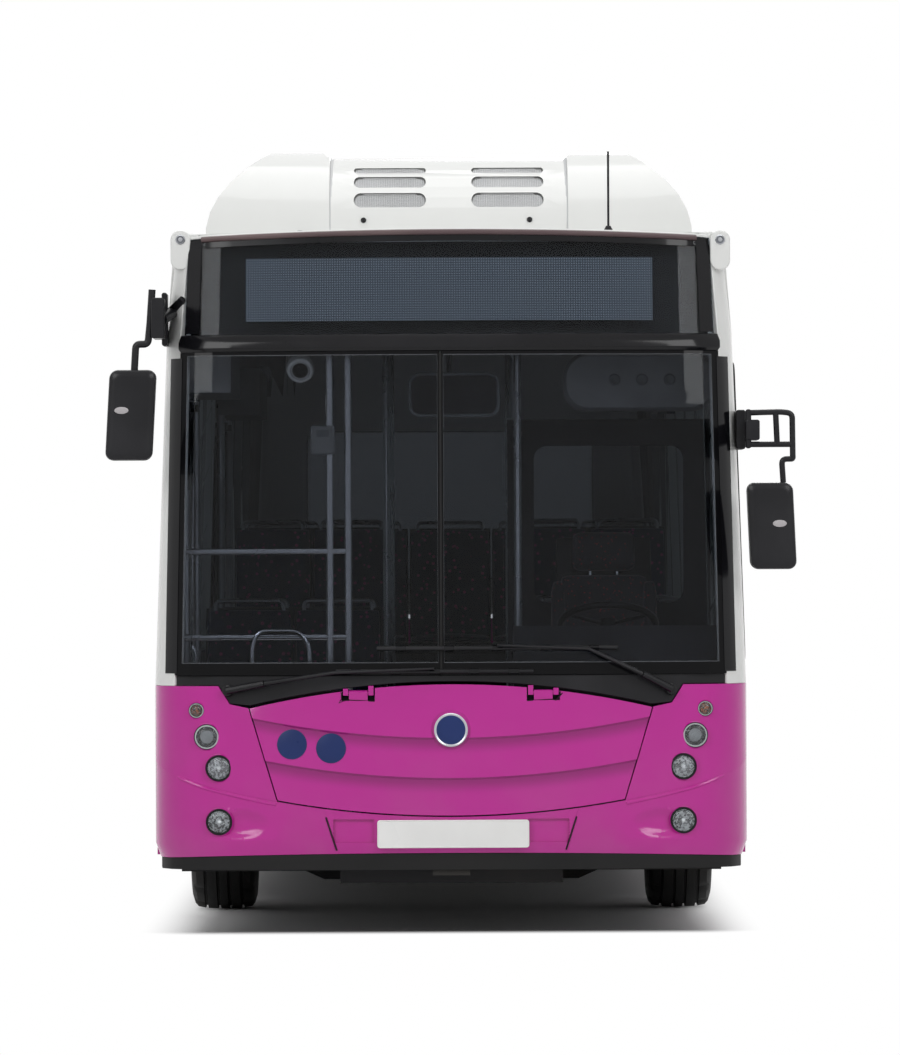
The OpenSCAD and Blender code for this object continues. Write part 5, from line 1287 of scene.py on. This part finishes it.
# %% [markdown]
# The driver's seat is wider, with side bolsters, arm rests, a head pad and a bellows over its spring.

# %% Driver's seat
DRIVER_BACK, FOLDS = 0.770, 7
low, high = box_of("driver_seat")
x0, x1, y0, z_top = low.x, high.x, low.y + 0.060, high.z - DRIVER_BACK
middle = (x0 + x1) / 2.0
foot = Vector((middle, y0 + SEAT_D + 0.045, z_top - 0.02))
driver_pads, driver_shells = Build("driver_cushions"), Build("driver_seat_frame")
driver_pads.add(cushion((x0 + 0.02, y0 - 0.045, z_top - 0.095), (x1 - 0.02, y0 + SEAT_D, z_top - 0.012), 0.036, 0.018),
                driver_cloth)
driver_pads.add(leaned(cushion((-0.20, 0.0, -0.042), (0.20, 0.560, 0.042), 0.038, 0.016), foot), driver_cloth)
driver_pads.add(leaned(cushion((-0.14, 0.580, -0.036), (0.14, 0.755, 0.036), 0.034, 0.012), foot), driver_cloth)
for side in SIDES:
    bolster, rest = side * 0.205, side * 0.265
    driver_pads.add(leaned(cushion((bolster - 0.032, 0.03, -0.05), (bolster + 0.032, 0.53, 0.060), 0.030, 0.0), foot),
                    driver_cloth)
    driver_shells.add(leaned(tube([(side * 0.06, 0.54, -0.01), (side * 0.06, 0.62, -0.01)], 0.008, 10), foot), chrome)
    driver_shells.add(leaned(cushion((rest - 0.022, 0.16, 0.0), (rest + 0.022, 0.21, 0.30), 0.018, 0.0), foot), black_trim)
driver_shells.add(leaned(slab((-0.215, -0.02, -0.070), (0.215, 0.74, -0.040), 0.014), foot), black_trim)
driver_shells.add(slab((x0 + 0.01, y0 - 0.03, z_top - 0.125), (x1 - 0.01, y0 + SEAT_D + 0.04, z_top - 0.088), 0.014),
                  black_trim)
heights = spaced(low.z, z_top - 0.12, FOLDS + 1)
for h0, h1 in zip(heights, heights[1:]):
    driver_shells.add(loft([[Vector((middle + u, y0 + 0.21 + v, h)) for u, v in round_rect(half, half, 0.05)]
                            for h, half in ((h0, 0.145), ((h0 + h1) / 2.0, 0.165), (h1, 0.145))]), rubber)
driver = driver_pads.make("body", "driver_fabric", ["driver_seat"])
driver_shells.make("body", "black_trim")
print("driver's seat made")

# %% [markdown]
# The lower sides carry the front's colour up to the waist. The walls are already split at that height, so the faces below
# it simply take the other paint; door leaves get glass in their frames in the same way.

# %% Side bands and door glass
WAIST = 1.081
LEAF_FRAME, LEAF_MIDDLE = 0.045, 0.019
for name in ("wall_driver_side", "wall_door_side", "rear_end"):
    mesh = nodes[name].data
    mesh.materials.append(magenta_paint)
    for face in mesh.polygons:
        if face.material_index == 0 and face.center.z < WAIST - 0.002:
            face.material_index = 2
for name in named("leaf"):
    low, high = box_of(name)
    dress(nodes[name], black_trim, side_glass)
    for face in nodes[name].data.polygons:
        flat = abs(face.normal.x) > 0.9
        inside = all(low[k] + LEAF_FRAME < face.center[k] < high[k] - LEAF_FRAME for k in (1, 2))
        thin = abs(face.center.x - (low.x + LEAF_MIDDLE)) < 0.009
        face.material_index = 1 if flat and inside and thin else 0
pane_mesh = nodes["panes"].data
pane_mesh.materials.append(rear_glass)
for face in pane_mesh.polygons:
    if face.center.y > 5.5:
        face.material_index = len(pane_mesh.materials) - 1
print("bands and door glass")

# %% [markdown]
# Every window sits in a rubber gasket, and each second one has a top light with its own bar and grip. The gasket follows
# the lean of the wall.

# %% Window gaskets
LEAN = [(0.0, 1.275), (WAIST, 1.275), (2.589, 1.225), (2.960, 1.195)]


def wall_x(z):
    for (z0, x0), (z1, x1) in zip(LEAN, LEAN[1:]):
        if z <= z1:
            return x0 + (x1 - x0) * (z - z0) / (z1 - z0)
    return LEAN[-1][1]


gaskets, bars = Build("window_gaskets"), Build("top_lights")
window_list = [(low, high) for low, high in islands("panes") if high.y - low.y > 0.3]
for i, (low, high) in enumerate(window_list):
    side = -1.0 if low.x < 0.0 else 1.0
    (cy, half_y), (cz, half_z) = middle_half((low.y, high.y)), middle_half((low.z, high.z))
    loop = [Vector((side * (wall_x(cz + v) + 0.001), cy + u, cz + v))
            for u, v in round_rect(half_y + 0.004, half_z + 0.004, 0.06, 8)]
    gaskets.add(tube(loop + loop[:2], 0.011, 8), rubber)
    if i % 2 == 0:
        z = high.z - 0.30
        ends = [Vector((side * (wall_x(z) - 0.006), y, z)) for y in (low.y + 0.02, high.y - 0.02)]
        bars.add(tube(ends, 0.015, 10), black_trim)
        grip = ends[0].lerp(ends[1], 0.5) + Vector((-side * 0.03, 0.0, 0.05))
        bars.add(tube([grip - AHEAD * 0.05, grip + AHEAD * 0.05], 0.008, 8), rail_steel)
gaskets.make("body", "black_trim")
bars.make("body", "black_trim")
print("gaskets", len(window_list))

# %% [markdown]
# Door leaves close on rubber noses, and each has a grab handle inside. These ride on the leaves.

# %% Door trim
for name in named("leaf"):
    low, high = box_of(name)
    nose, tail, toward = (high.y, low.y, 1.0) if name.endswith("_a") else (low.y, high.y, -1.0)
    x, y, z = low.x + LEAF_MIDDLE, tail + toward * 0.14, low.z + (high.z - low.z) * 0.35
    nose_y = nose - toward * 0.010
    grip = [(x + 0.019, y, z - 0.20), (x + 0.060, y, z - 0.16), (x + 0.060, y, z + 0.16), (x + 0.019, y, z + 0.20)]
    trim = Build("trim_" + name)
    trim.add(tube([(x, nose_y, low.z + 0.02), (x, nose_y, high.z - 0.02)], 0.0125, 10, 1.5), rubber)
    trim.add(tube(rounded_path(grip, 0.04), 0.012, 10), rail_steel)
    trim.make(BODY_OF[name], "black_trim")
print("door trim set")

# %% [markdown]
# Wheel arches have a rubber lip, the skirts have joints between panels, and amber lamps mark the sides.

# %% Skirt details
AXLES, ARCH_R, HUB_Z, SKIRT_Z, SKIRT_X = (-3.250, 2.650), 0.585, 0.500, 0.345, 1.275
PANEL_YS = (-2.30, -1.45, 1.35, 3.60, 4.55)
MARKER_YS, MARKER_Z = (-4.05, -1.90, 0.95, 3.80, 5.20), 0.90
lips, panel_joints, markers = Build("arch_lips"), Build("panel_joints"), Build("side_markers")
wall_faces = {-1.0: surface("wall_door_side"), 1.0: surface("wall_driver_side")}


def on_wall(side, y, z):
    """Whether the outer wall is there, and not a doorway or an arch."""
    hit = wall_faces[side].ray_cast(Vector((side * 3.0, y, z)), Vector((-side, 0.0, 0.0)))[0]
    return hit is not None and abs(hit.x) >= 1.2


def marker_ring(side, y, out, half_w, half_h, radius):
    return [Vector((side * (SKIRT_X + out), y + u, MARKER_Z + v)) for u, v in round_rect(half_w, half_h, radius)]


for side in SIDES:
    for axle in AXLES:
        arc = [Vector((side * (SKIRT_X + 0.0005), axle + ARCH_R * math.cos(a), HUB_Z + ARCH_R * math.sin(a)))
               for a in map(math.radians, spaced(-14.0, 194.0, 41))]
        lips.add(tube([p for p in arc if p.z > SKIRT_Z + 0.005], 0.012, 8), rubber)
    joint_x = side * (SKIRT_X + 0.0002)
    for y in [y for y in PANEL_YS if on_wall(side, y, 0.7)]:
        panel_joints.add(box_shape((joint_x - 0.0008, y - 0.002, SKIRT_Z), (joint_x + 0.0008, y + 0.002, WAIST)),
                         joint_dark)
    for y in [y for y in MARKER_YS if on_wall(side, y, MARKER_Z)]:
        markers.add(loft([marker_ring(side, y, out, 0.055 - inset, 0.020 - inset, 0.012)
                          for out, inset in ((-0.004, 0.0), (0.010, 0.0), (0.015, 0.005))]), amber_lens)
        markers.add(loft([marker_ring(side, y, out, 0.066, 0.030, 0.016) for out in (-0.004, 0.004)]), black_trim)
lips.make("body", "black_trim")
panel_joints.make("body", "magenta_paint")
markers.make("body", "lamp_glass")
print("skirt details set")

# %% [markdown]
# The rear has round lamps with a bowl and a domed lens each.

# %% Rear lamps
rear_lamp_face = surface("rear_lamps")
REAR_LAMPS = [(0.820, plate_white), (0.960, amber_lens), (1.100, red_lens), (1.240, red_lens), (2.720, red_lens)]
REAR_LAMP_X, REAR_LAMP_R = 1.105, 0.055
REAR_RIM = [(-0.006, 0.97), (-0.006, 1.10), (0.004, 1.12), (0.006, 1.04), (0.002, 0.97)]
rear_lamp_set = Build("rear_lamp_units")
for side in SIDES:
    for z, glassy in REAR_LAMPS:
        place = ray_at(side * REAR_LAMP_X, z, rear_lamp_face, -1.0)[0] - AHEAD * LAMP_BULGE
        rear_lamp_set.add(revolve(scaled(CUP, REAR_LAMP_R), place, AHEAD), chrome)
        rear_lamp_set.add(revolve(dome(REAR_LAMP_R, 0.016), place, AHEAD), glassy)
        rear_lamp_set.add(revolve(scaled(REAR_RIM, REAR_LAMP_R), place, AHEAD, 40, True), black_trim)
rear_lamp_set.make("body", "red_lens", ["rear_lamps"])
print("rear lamps", 2 * len(REAR_LAMPS))

# %% [markdown]
# A gasket runs round the rear window and a buffer strip along the foot. The engine flap has a grip and a grille, whose
# louvres come from a node tree: a row of tilted slats.

# %% Rear window, buffer and grille
rear_trim = Build("rear_trim")
rear_solid, flap_solid = surface("rear_end", "engine_flap", "panes"), surface("engine_flap")
loop = [rear_at(u, 1.940 + v, rear_solid) + AHEAD * 0.002 for u, v in round_rect(0.856, 0.446, 0.07, 8)]
rear_trim.add(tube(loop + loop[:2], 0.012, 8), rubber)
buffer = [rear_at(x, 0.415, rear_solid) + AHEAD * 0.012 for x in spaced(-1.15, 1.15, 31)]
rear_trim.add(tube(buffer, 0.028, 10), black_trim)
rear_trim.make("body", "black_trim")

slat_tree, net, given, result = geometry_tree("louvre rows", [
    ("Rows", WHOLE, 9), ("Width", NUMBER, 1.2), ("Pitch", NUMBER, 0.045), ("Depth", NUMBER, 0.026),
    ("Finish", FINISH_SOCKET, None)])
step = net.node("ShaderNodeCombineXYZ", {"Z": given["Pitch"]}).outputs[0]
size = net.node("ShaderNodeCombineXYZ", {"X": given["Width"], "Y": given["Depth"], "Z": 0.004}).outputs[0]
line = net.node("GeometryNodeMeshLine", {"Count": given["Rows"], "Offset": step}).outputs["Mesh"]
slat = net.node("GeometryNodeMeshCube", {"Size": size}).outputs["Mesh"]
tilted = net.node("GeometryNodeTransform", {"Geometry": slat, "Rotation": (math.radians(-38.0), 0.0, 0.0)}).outputs[0]
rows = net.node("GeometryNodeInstanceOnPoints", {"Points": line, "Instance": tilted}).outputs["Instances"]
hand_out(net, rows, given["Finish"], result)

GRILLE_Z, GRILLE_ROWS, GRILLE_PITCH, GRILLE_HALF = 0.640, 9, 0.045, 0.600
GRILLE_TALL = GRILLE_PITCH * (GRILLE_ROWS - 1)
slat_verts, slat_faces = grown("louvres", slat_tree, Rows=GRILLE_ROWS, Width=2.0 * GRILLE_HALF, Pitch=GRILLE_PITCH,
                               Depth=0.026, Finish=black_trim)
grille = Build("engine_grille")
grille_y = max(rear_at(x, z, flap_solid).y for x in (0.0, GRILLE_HALF) for z in (GRILLE_Z, GRILLE_Z + GRILLE_TALL))
grille.add(([v + Vector((0.0, grille_y + 0.012, GRILLE_Z)) for v in slat_verts], slat_faces), black_trim)
loop = upright(0.0, grille_y + 0.006, GRILLE_Z + GRILLE_TALL / 2.0, 0.625, 0.215, 0.03)
grille.add(tube(loop + loop[:2], 0.016, 8), black_trim)
grille.make("engine_flap", "black_trim")

GRIP_Z, GRIP_HALF, GRIP_OUT = 0.545, 0.07, 0.045
rear_grip = Build("flap_grip")
grip_y = rear_at(0.0, GRIP_Z, flap_solid).y
grip = [(-GRIP_HALF, grip_y, GRIP_Z), (-GRIP_HALF, grip_y + GRIP_OUT, GRIP_Z), (GRIP_HALF, grip_y + GRIP_OUT, GRIP_Z),
        (GRIP_HALF, grip_y, GRIP_Z)]
rear_grip.add(tube(rounded_path(grip, 0.02), 0.009, 10), black_trim)
rear_grip.make("engine_flap", "black_trim")
print("rear dressed")

# %% [markdown]
# The roof fairing's vents hold a grey wire mesh. A node tree lays a grid of wires, cuts it to the round-ended opening and
# thickens it; a plate closes the opening behind it.

# %% Roof vents
mesh_tree, net, given, result = geometry_tree("vent mesh", [
    ("Width", NUMBER, 0.3), ("Height", NUMBER, 0.06), ("Columns", WHOLE, 60), ("Rows", WHOLE, 12), ("Wire", NUMBER, 0.0011),
    ("Finish", FINISH_SOCKET, None)])
grid = net.node("GeometryNodeMeshGrid", {"Size X": given["Width"], "Size Y": given["Height"],
                                         "Vertices X": given["Columns"], "Vertices Y": given["Rows"]}).outputs["Mesh"]
spot = net.node("ShaderNodeSeparateXYZ", {0: net.node("GeometryNodeInputPosition").outputs[0]}).outputs
half_high = net.math("MULTIPLY", given["Height"], 0.5)
straight = net.math("SUBTRACT", net.math("MULTIPLY", given["Width"], 0.5), half_high)
beyond = net.math("MAXIMUM", net.math("SUBTRACT", net.math("ABSOLUTE", spot["X"]), straight), 0.0)
squares = net.math("ADD", net.math("MULTIPLY", beyond, beyond), net.math("MULTIPLY", spot["Y"], spot["Y"]))
outside = net.math("GREATER_THAN", net.math("SQRT", squares), half_high)
cut = net.node("GeometryNodeDeleteGeometry", {"Geometry": grid, "Selection": outside}).outputs[0]
wires = net.node("GeometryNodeMeshToCurve", {"Mesh": cut}).outputs["Curve"]
profile = net.node("GeometryNodeCurvePrimitiveCircle", {"Resolution": 4, "Radius": given["Wire"]}).outputs["Curve"]
thick = net.node("GeometryNodeCurveToMesh", {"Curve": wires, "Profile Curve": profile}).outputs["Mesh"]
hand_out(net, thick, given["Finish"], result)

ROOF_Z, UNIT_Z = 3.040, 3.398
VENT_X, VENT_SHARES = (0.100, 0.415), [(0.33, 0.51), (0.58, 0.72), (0.77, 0.84)]
VENT_WIDE, WIRE_PITCH = VENT_X[1] - VENT_X[0], 0.0075
unit_face = surface("roof_unit")
vents = Build("vent_meshes")
for side in SIDES:
    for shares in VENT_SHARES:
        beside = side * (VENT_X[1] + 0.03)
        foot, head = along_front(unit_face, [(beside, ROOF_Z + (UNIT_Z - ROOF_Z) * share) for share in shares])
        tall, up = (head - foot).length, (head - foot).normalized()
        out = Vector((1.0, 0.0, 0.0)).cross(up)
        outward = out if out.y < 0.0 else -out
        middle = (foot + head) / 2.0 - outward * 0.006
        middle.x = side * sum(VENT_X) / 2.0
        behind = middle - outward * 0.008
        wire_verts, wire_faces = grown("vent", mesh_tree, Width=VENT_WIDE - 0.006, Height=tall - 0.004,
                                       Columns=int(VENT_WIDE / WIRE_PITCH), Rows=max(4, int(tall / WIRE_PITCH)),
                                       Wire=0.0013, Finish=grey_mesh)
        vents.add(([middle + Vector((v.x, 0.0, 0.0)) + up * v.y + out * v.z for v in wire_verts], wire_faces), grey_mesh)
        outline = round_rect(VENT_WIDE / 2.0 - 0.002, tall / 2.0 - 0.002, tall * 0.46)
        vents.add(loft([[behind + Vector((u, 0.0, 0.0)) + up * v - out * deep for u, v in outline]
                        for deep in (0.0, 0.003)]), vent_back)
vents.make("body", "steel")
print("vents", 2 * len(VENT_SHARES))

# %% [markdown]
# The fairing's middle unit has a joint strip at each side and two fixings, and a bolted ear stands at the top of each
# pillar.

# %% Fairing joints and corner ears
strips, fixings, ears = Build("fairing_joints"), Build("fairing_fixings"), Build("corner_ears")
EARS_AT, EAR_DOWN, EAR_W, EAR_H, EAR_R = ((-1.160, 3.006), (1.172, 2.996)), 0.045, 0.043, 0.085, 0.040
BOLT = [(-0.004, 0.021), (0.003, 0.021), (0.006, 0.017), (0.002, 0.013), (0.006, 0.009), (0.007, TIP)]
for edge in (box.x for box in box_of("roof_unit")):
    inward = 0.004 if edge < 0.0 else -0.004
    profile = along_front(unit_face, [(edge + inward, z) for z in spaced(ROOF_Z + 0.012, UNIT_Z - 0.018, 25)])
    strips.add(tube([Vector((edge - inward * 0.5, p.y + 0.012, p.z)) for p in profile], 0.011, 8), vent_back)
strips.make("body", "white_paint")

for x in (-0.372, 0.353):
    place, normal = front_at(x, 3.100, unit_face)
    fixings.add(revolve([(-0.004, 0.012), (0.006, 0.012), (0.009, 0.008), (0.0095, TIP)], place, normal, 20), gloss_black)
for x, z in EARS_AT:
    under = [ray_at(x + u, z - EAR_DOWN + v, mask_face)[0] for u in spaced(-0.036, 0.036, 5)
             for v in spaced(-0.080, 0.040, 5)]
    ear_y = min(hit.y for hit in under if hit is not None)
    ears.add(loft([upright(x, ear_y + deep, z - EAR_DOWN, EAR_W - inset, EAR_H - inset, EAR_R - inset)
                   for deep, inset in ((0.060, 0.0), (-0.003, 0.0), (-0.007, 0.004))]), white_paint)
    fixings.add(revolve(BOLT, (x, ear_y - 0.007, z), -AHEAD, 24), bare_steel)
fixings.make("body", "black_trim")
ears.make("body", "white_paint")
print("ears", len(EARS_AT))

# %% [markdown]
# Seams of the front: a dark joint and a rolled edge follow the bumper's top, dark joints part its middle from its wings,
# and a black margin runs up each pillar beside the windscreen.

# %% Front seams
seams, rolls, margins = Build("bumper_seams"), Build("bumper_rolls"), Build("pillar_margins")
SEAM_X, SPLIT_FOOT, SPLIT_TOP, SPLIT_END = (0.748, 1.258), (0.484, 0.367), (0.544, 0.555), 0.520
MARGIN_Z, MARGIN_ACROSS = (1.135, 2.490), (-0.010, 0.012, 0.030, 0.040)
pillar = surface("windscreen", "front_mask")
for side in SIDES:
    tops = [(side * x, edge_of(side * x, bumper_face, 0.45, 0.95)) for x in spaced(*SEAM_X, 33)]
    seams.add(tube(along_front(bumper_face, [(x, z - 0.001) for x, z in tops], (0.0, -0.002, 0.0)), 0.0046, 8), joint_dark)
    rolls.add(tube(along_front(bumper_face, [(x, z - 0.014) for x, z in tops], (0.0, 0.002, 0.0)), 0.0075, 10),
              magenta_paint)
    lean = (SPLIT_TOP[0] - SPLIT_FOOT[0]) / (SPLIT_TOP[1] - SPLIT_FOOT[1])
    split = [(side * (SPLIT_FOOT[0] + lean * (z - SPLIT_FOOT[1]) + 0.002), z)
             for z in spaced(SPLIT_FOOT[1] + 0.012, SPLIT_END, 13)]
    seams.add(tube(along_front(bumper_face, split), 0.0042, 8), joint_dark)
    margin_rows = []
    for z in spaced(*MARGIN_Z, 29):
        edge = side_edge(screen_face, side, z)
        margin_rows.append([(side * (edge + across), z) for across in MARGIN_ACROSS])
    margins.add(sheet_on(pillar, margin_rows, 0.0025), gloss_black)
seams.make("body", "magenta_paint")
rolls.make("body", "magenta_paint")
margins.make("body", "black_trim")
print("front seams laid")

# %% [markdown]
# What shows through the glass: a camera in its shell, a reader on the entrance pole, a dark case at the pillar, a hoop rail
# behind the screen, a locker over the driver, and a pale rim round the inside mirror.

# %% Behind the windscreen
fittings = Build("cab_fittings")
CAMERA_AT, CAMERA_AIM = Vector((-0.647, -5.46, 2.452)), Vector((0.0, -0.90, -0.43)).normalized()
CAMERA_SHELL = [(-0.070, TIP), (-0.070, 0.046), (0.010, 0.062), (0.030, 0.056), (0.034, 0.044), (0.026, 0.038),
                (0.026, TIP)]
CAMERA_EYE = [(0.020, 0.036), (0.032, 0.034), (0.046, 0.022), (0.052, TIP)]
fittings.add(revolve(CAMERA_SHELL, CAMERA_AT, CAMERA_AIM, 32), plate_white)
fittings.add(revolve(CAMERA_EYE, CAMERA_AT, CAMERA_AIM, 32), gloss_black)
fittings.add(tube([CAMERA_AT + Vector((0.0, 0.03, 0.04)), CAMERA_AT + Vector((0.0, 0.10, 0.60))], 0.016, 10), lamp_grey)

pole_y = front_at(-0.515, 2.20, surface("handrails"))[0].y
fittings.add(loft([upright(-0.548, pole_y + deep, 2.137, 0.052 - inset, 0.062 - inset, 0.012)
                   for deep, inset in ((0.030, 0.0), (-0.030, 0.0), (-0.036, 0.006))]), inner_panel)
fittings.add(box_shape((-0.575, pole_y - 0.038, 2.150), (-0.522, pole_y - 0.034, 2.180)), lamp_grey)

case = []
for share, half in ((0.0, 0.010), (0.08, 0.026), (0.5, 0.030), (0.92, 0.022), (1.0, 0.008)):
    place = front_at(-1.150 + 0.012 * share, 1.945 + 0.355 * share, screen_face)[0] + AHEAD * 0.095
    case.append([place + Vector((u, v, 0.0)) for u, v in round_rect(half, 0.020, 0.008)])
fittings.add(loft(case), rubber)
fittings.add(tube(along_front(screen_face, [(-1.145, z) for z in (1.90, 2.12, 2.36)], AHEAD * 0.105), 0.009, 8), rubber)

HOOP_Y, HOOP_FOOT = -5.62, 0.352
hoop = [(-0.856, HOOP_FOOT), (-0.856, 1.250), (-0.830, 1.312), (-0.655, 1.312), (-0.610, 1.250), (-0.610, HOOP_FOOT)]
fittings.add(tube(rounded_path([(x, HOOP_Y, z) for x, z in hoop], 0.05), 0.011, 10), rail_steel)

LOCKER_X, LOCKER_Z, LOCKER_FRONT = 0.830, 2.392, -5.30
fittings.add(loft([upright(LOCKER_X, y, LOCKER_Z, 0.330 - inset, 0.125 - inset, 0.095) for y, inset in (
    (-4.95, 0.0), (-5.27, 0.0), (LOCKER_FRONT, 0.012), (LOCKER_FRONT, 0.030))]), inner_panel)
for x in (0.72, 0.84, 0.96):
    fittings.add(revolve([(-0.004, 0.026), (0.006, 0.026), (0.009, 0.020), (0.004, TIP)], (x, LOCKER_FRONT - 0.002, 2.400),
                         -AHEAD, 20), lamp_grey)

low, high = box_of("interior_mirror")
rim_x = (low.x + high.x) / 2.0
rim_at = front_at(rim_x + 0.12, 2.330, surface("interior_mirror"))[0]
loop = upright(rim_x, rim_at.y - 0.002, rim_at.z, 0.190, 0.090, 0.045)
fittings.add(tube(loop + loop[:2], 0.007, 8), lamp_grey)
fittings.make("body", "inner_panel")
print("cab fittings set")

# %% Close
print("scene dressed")
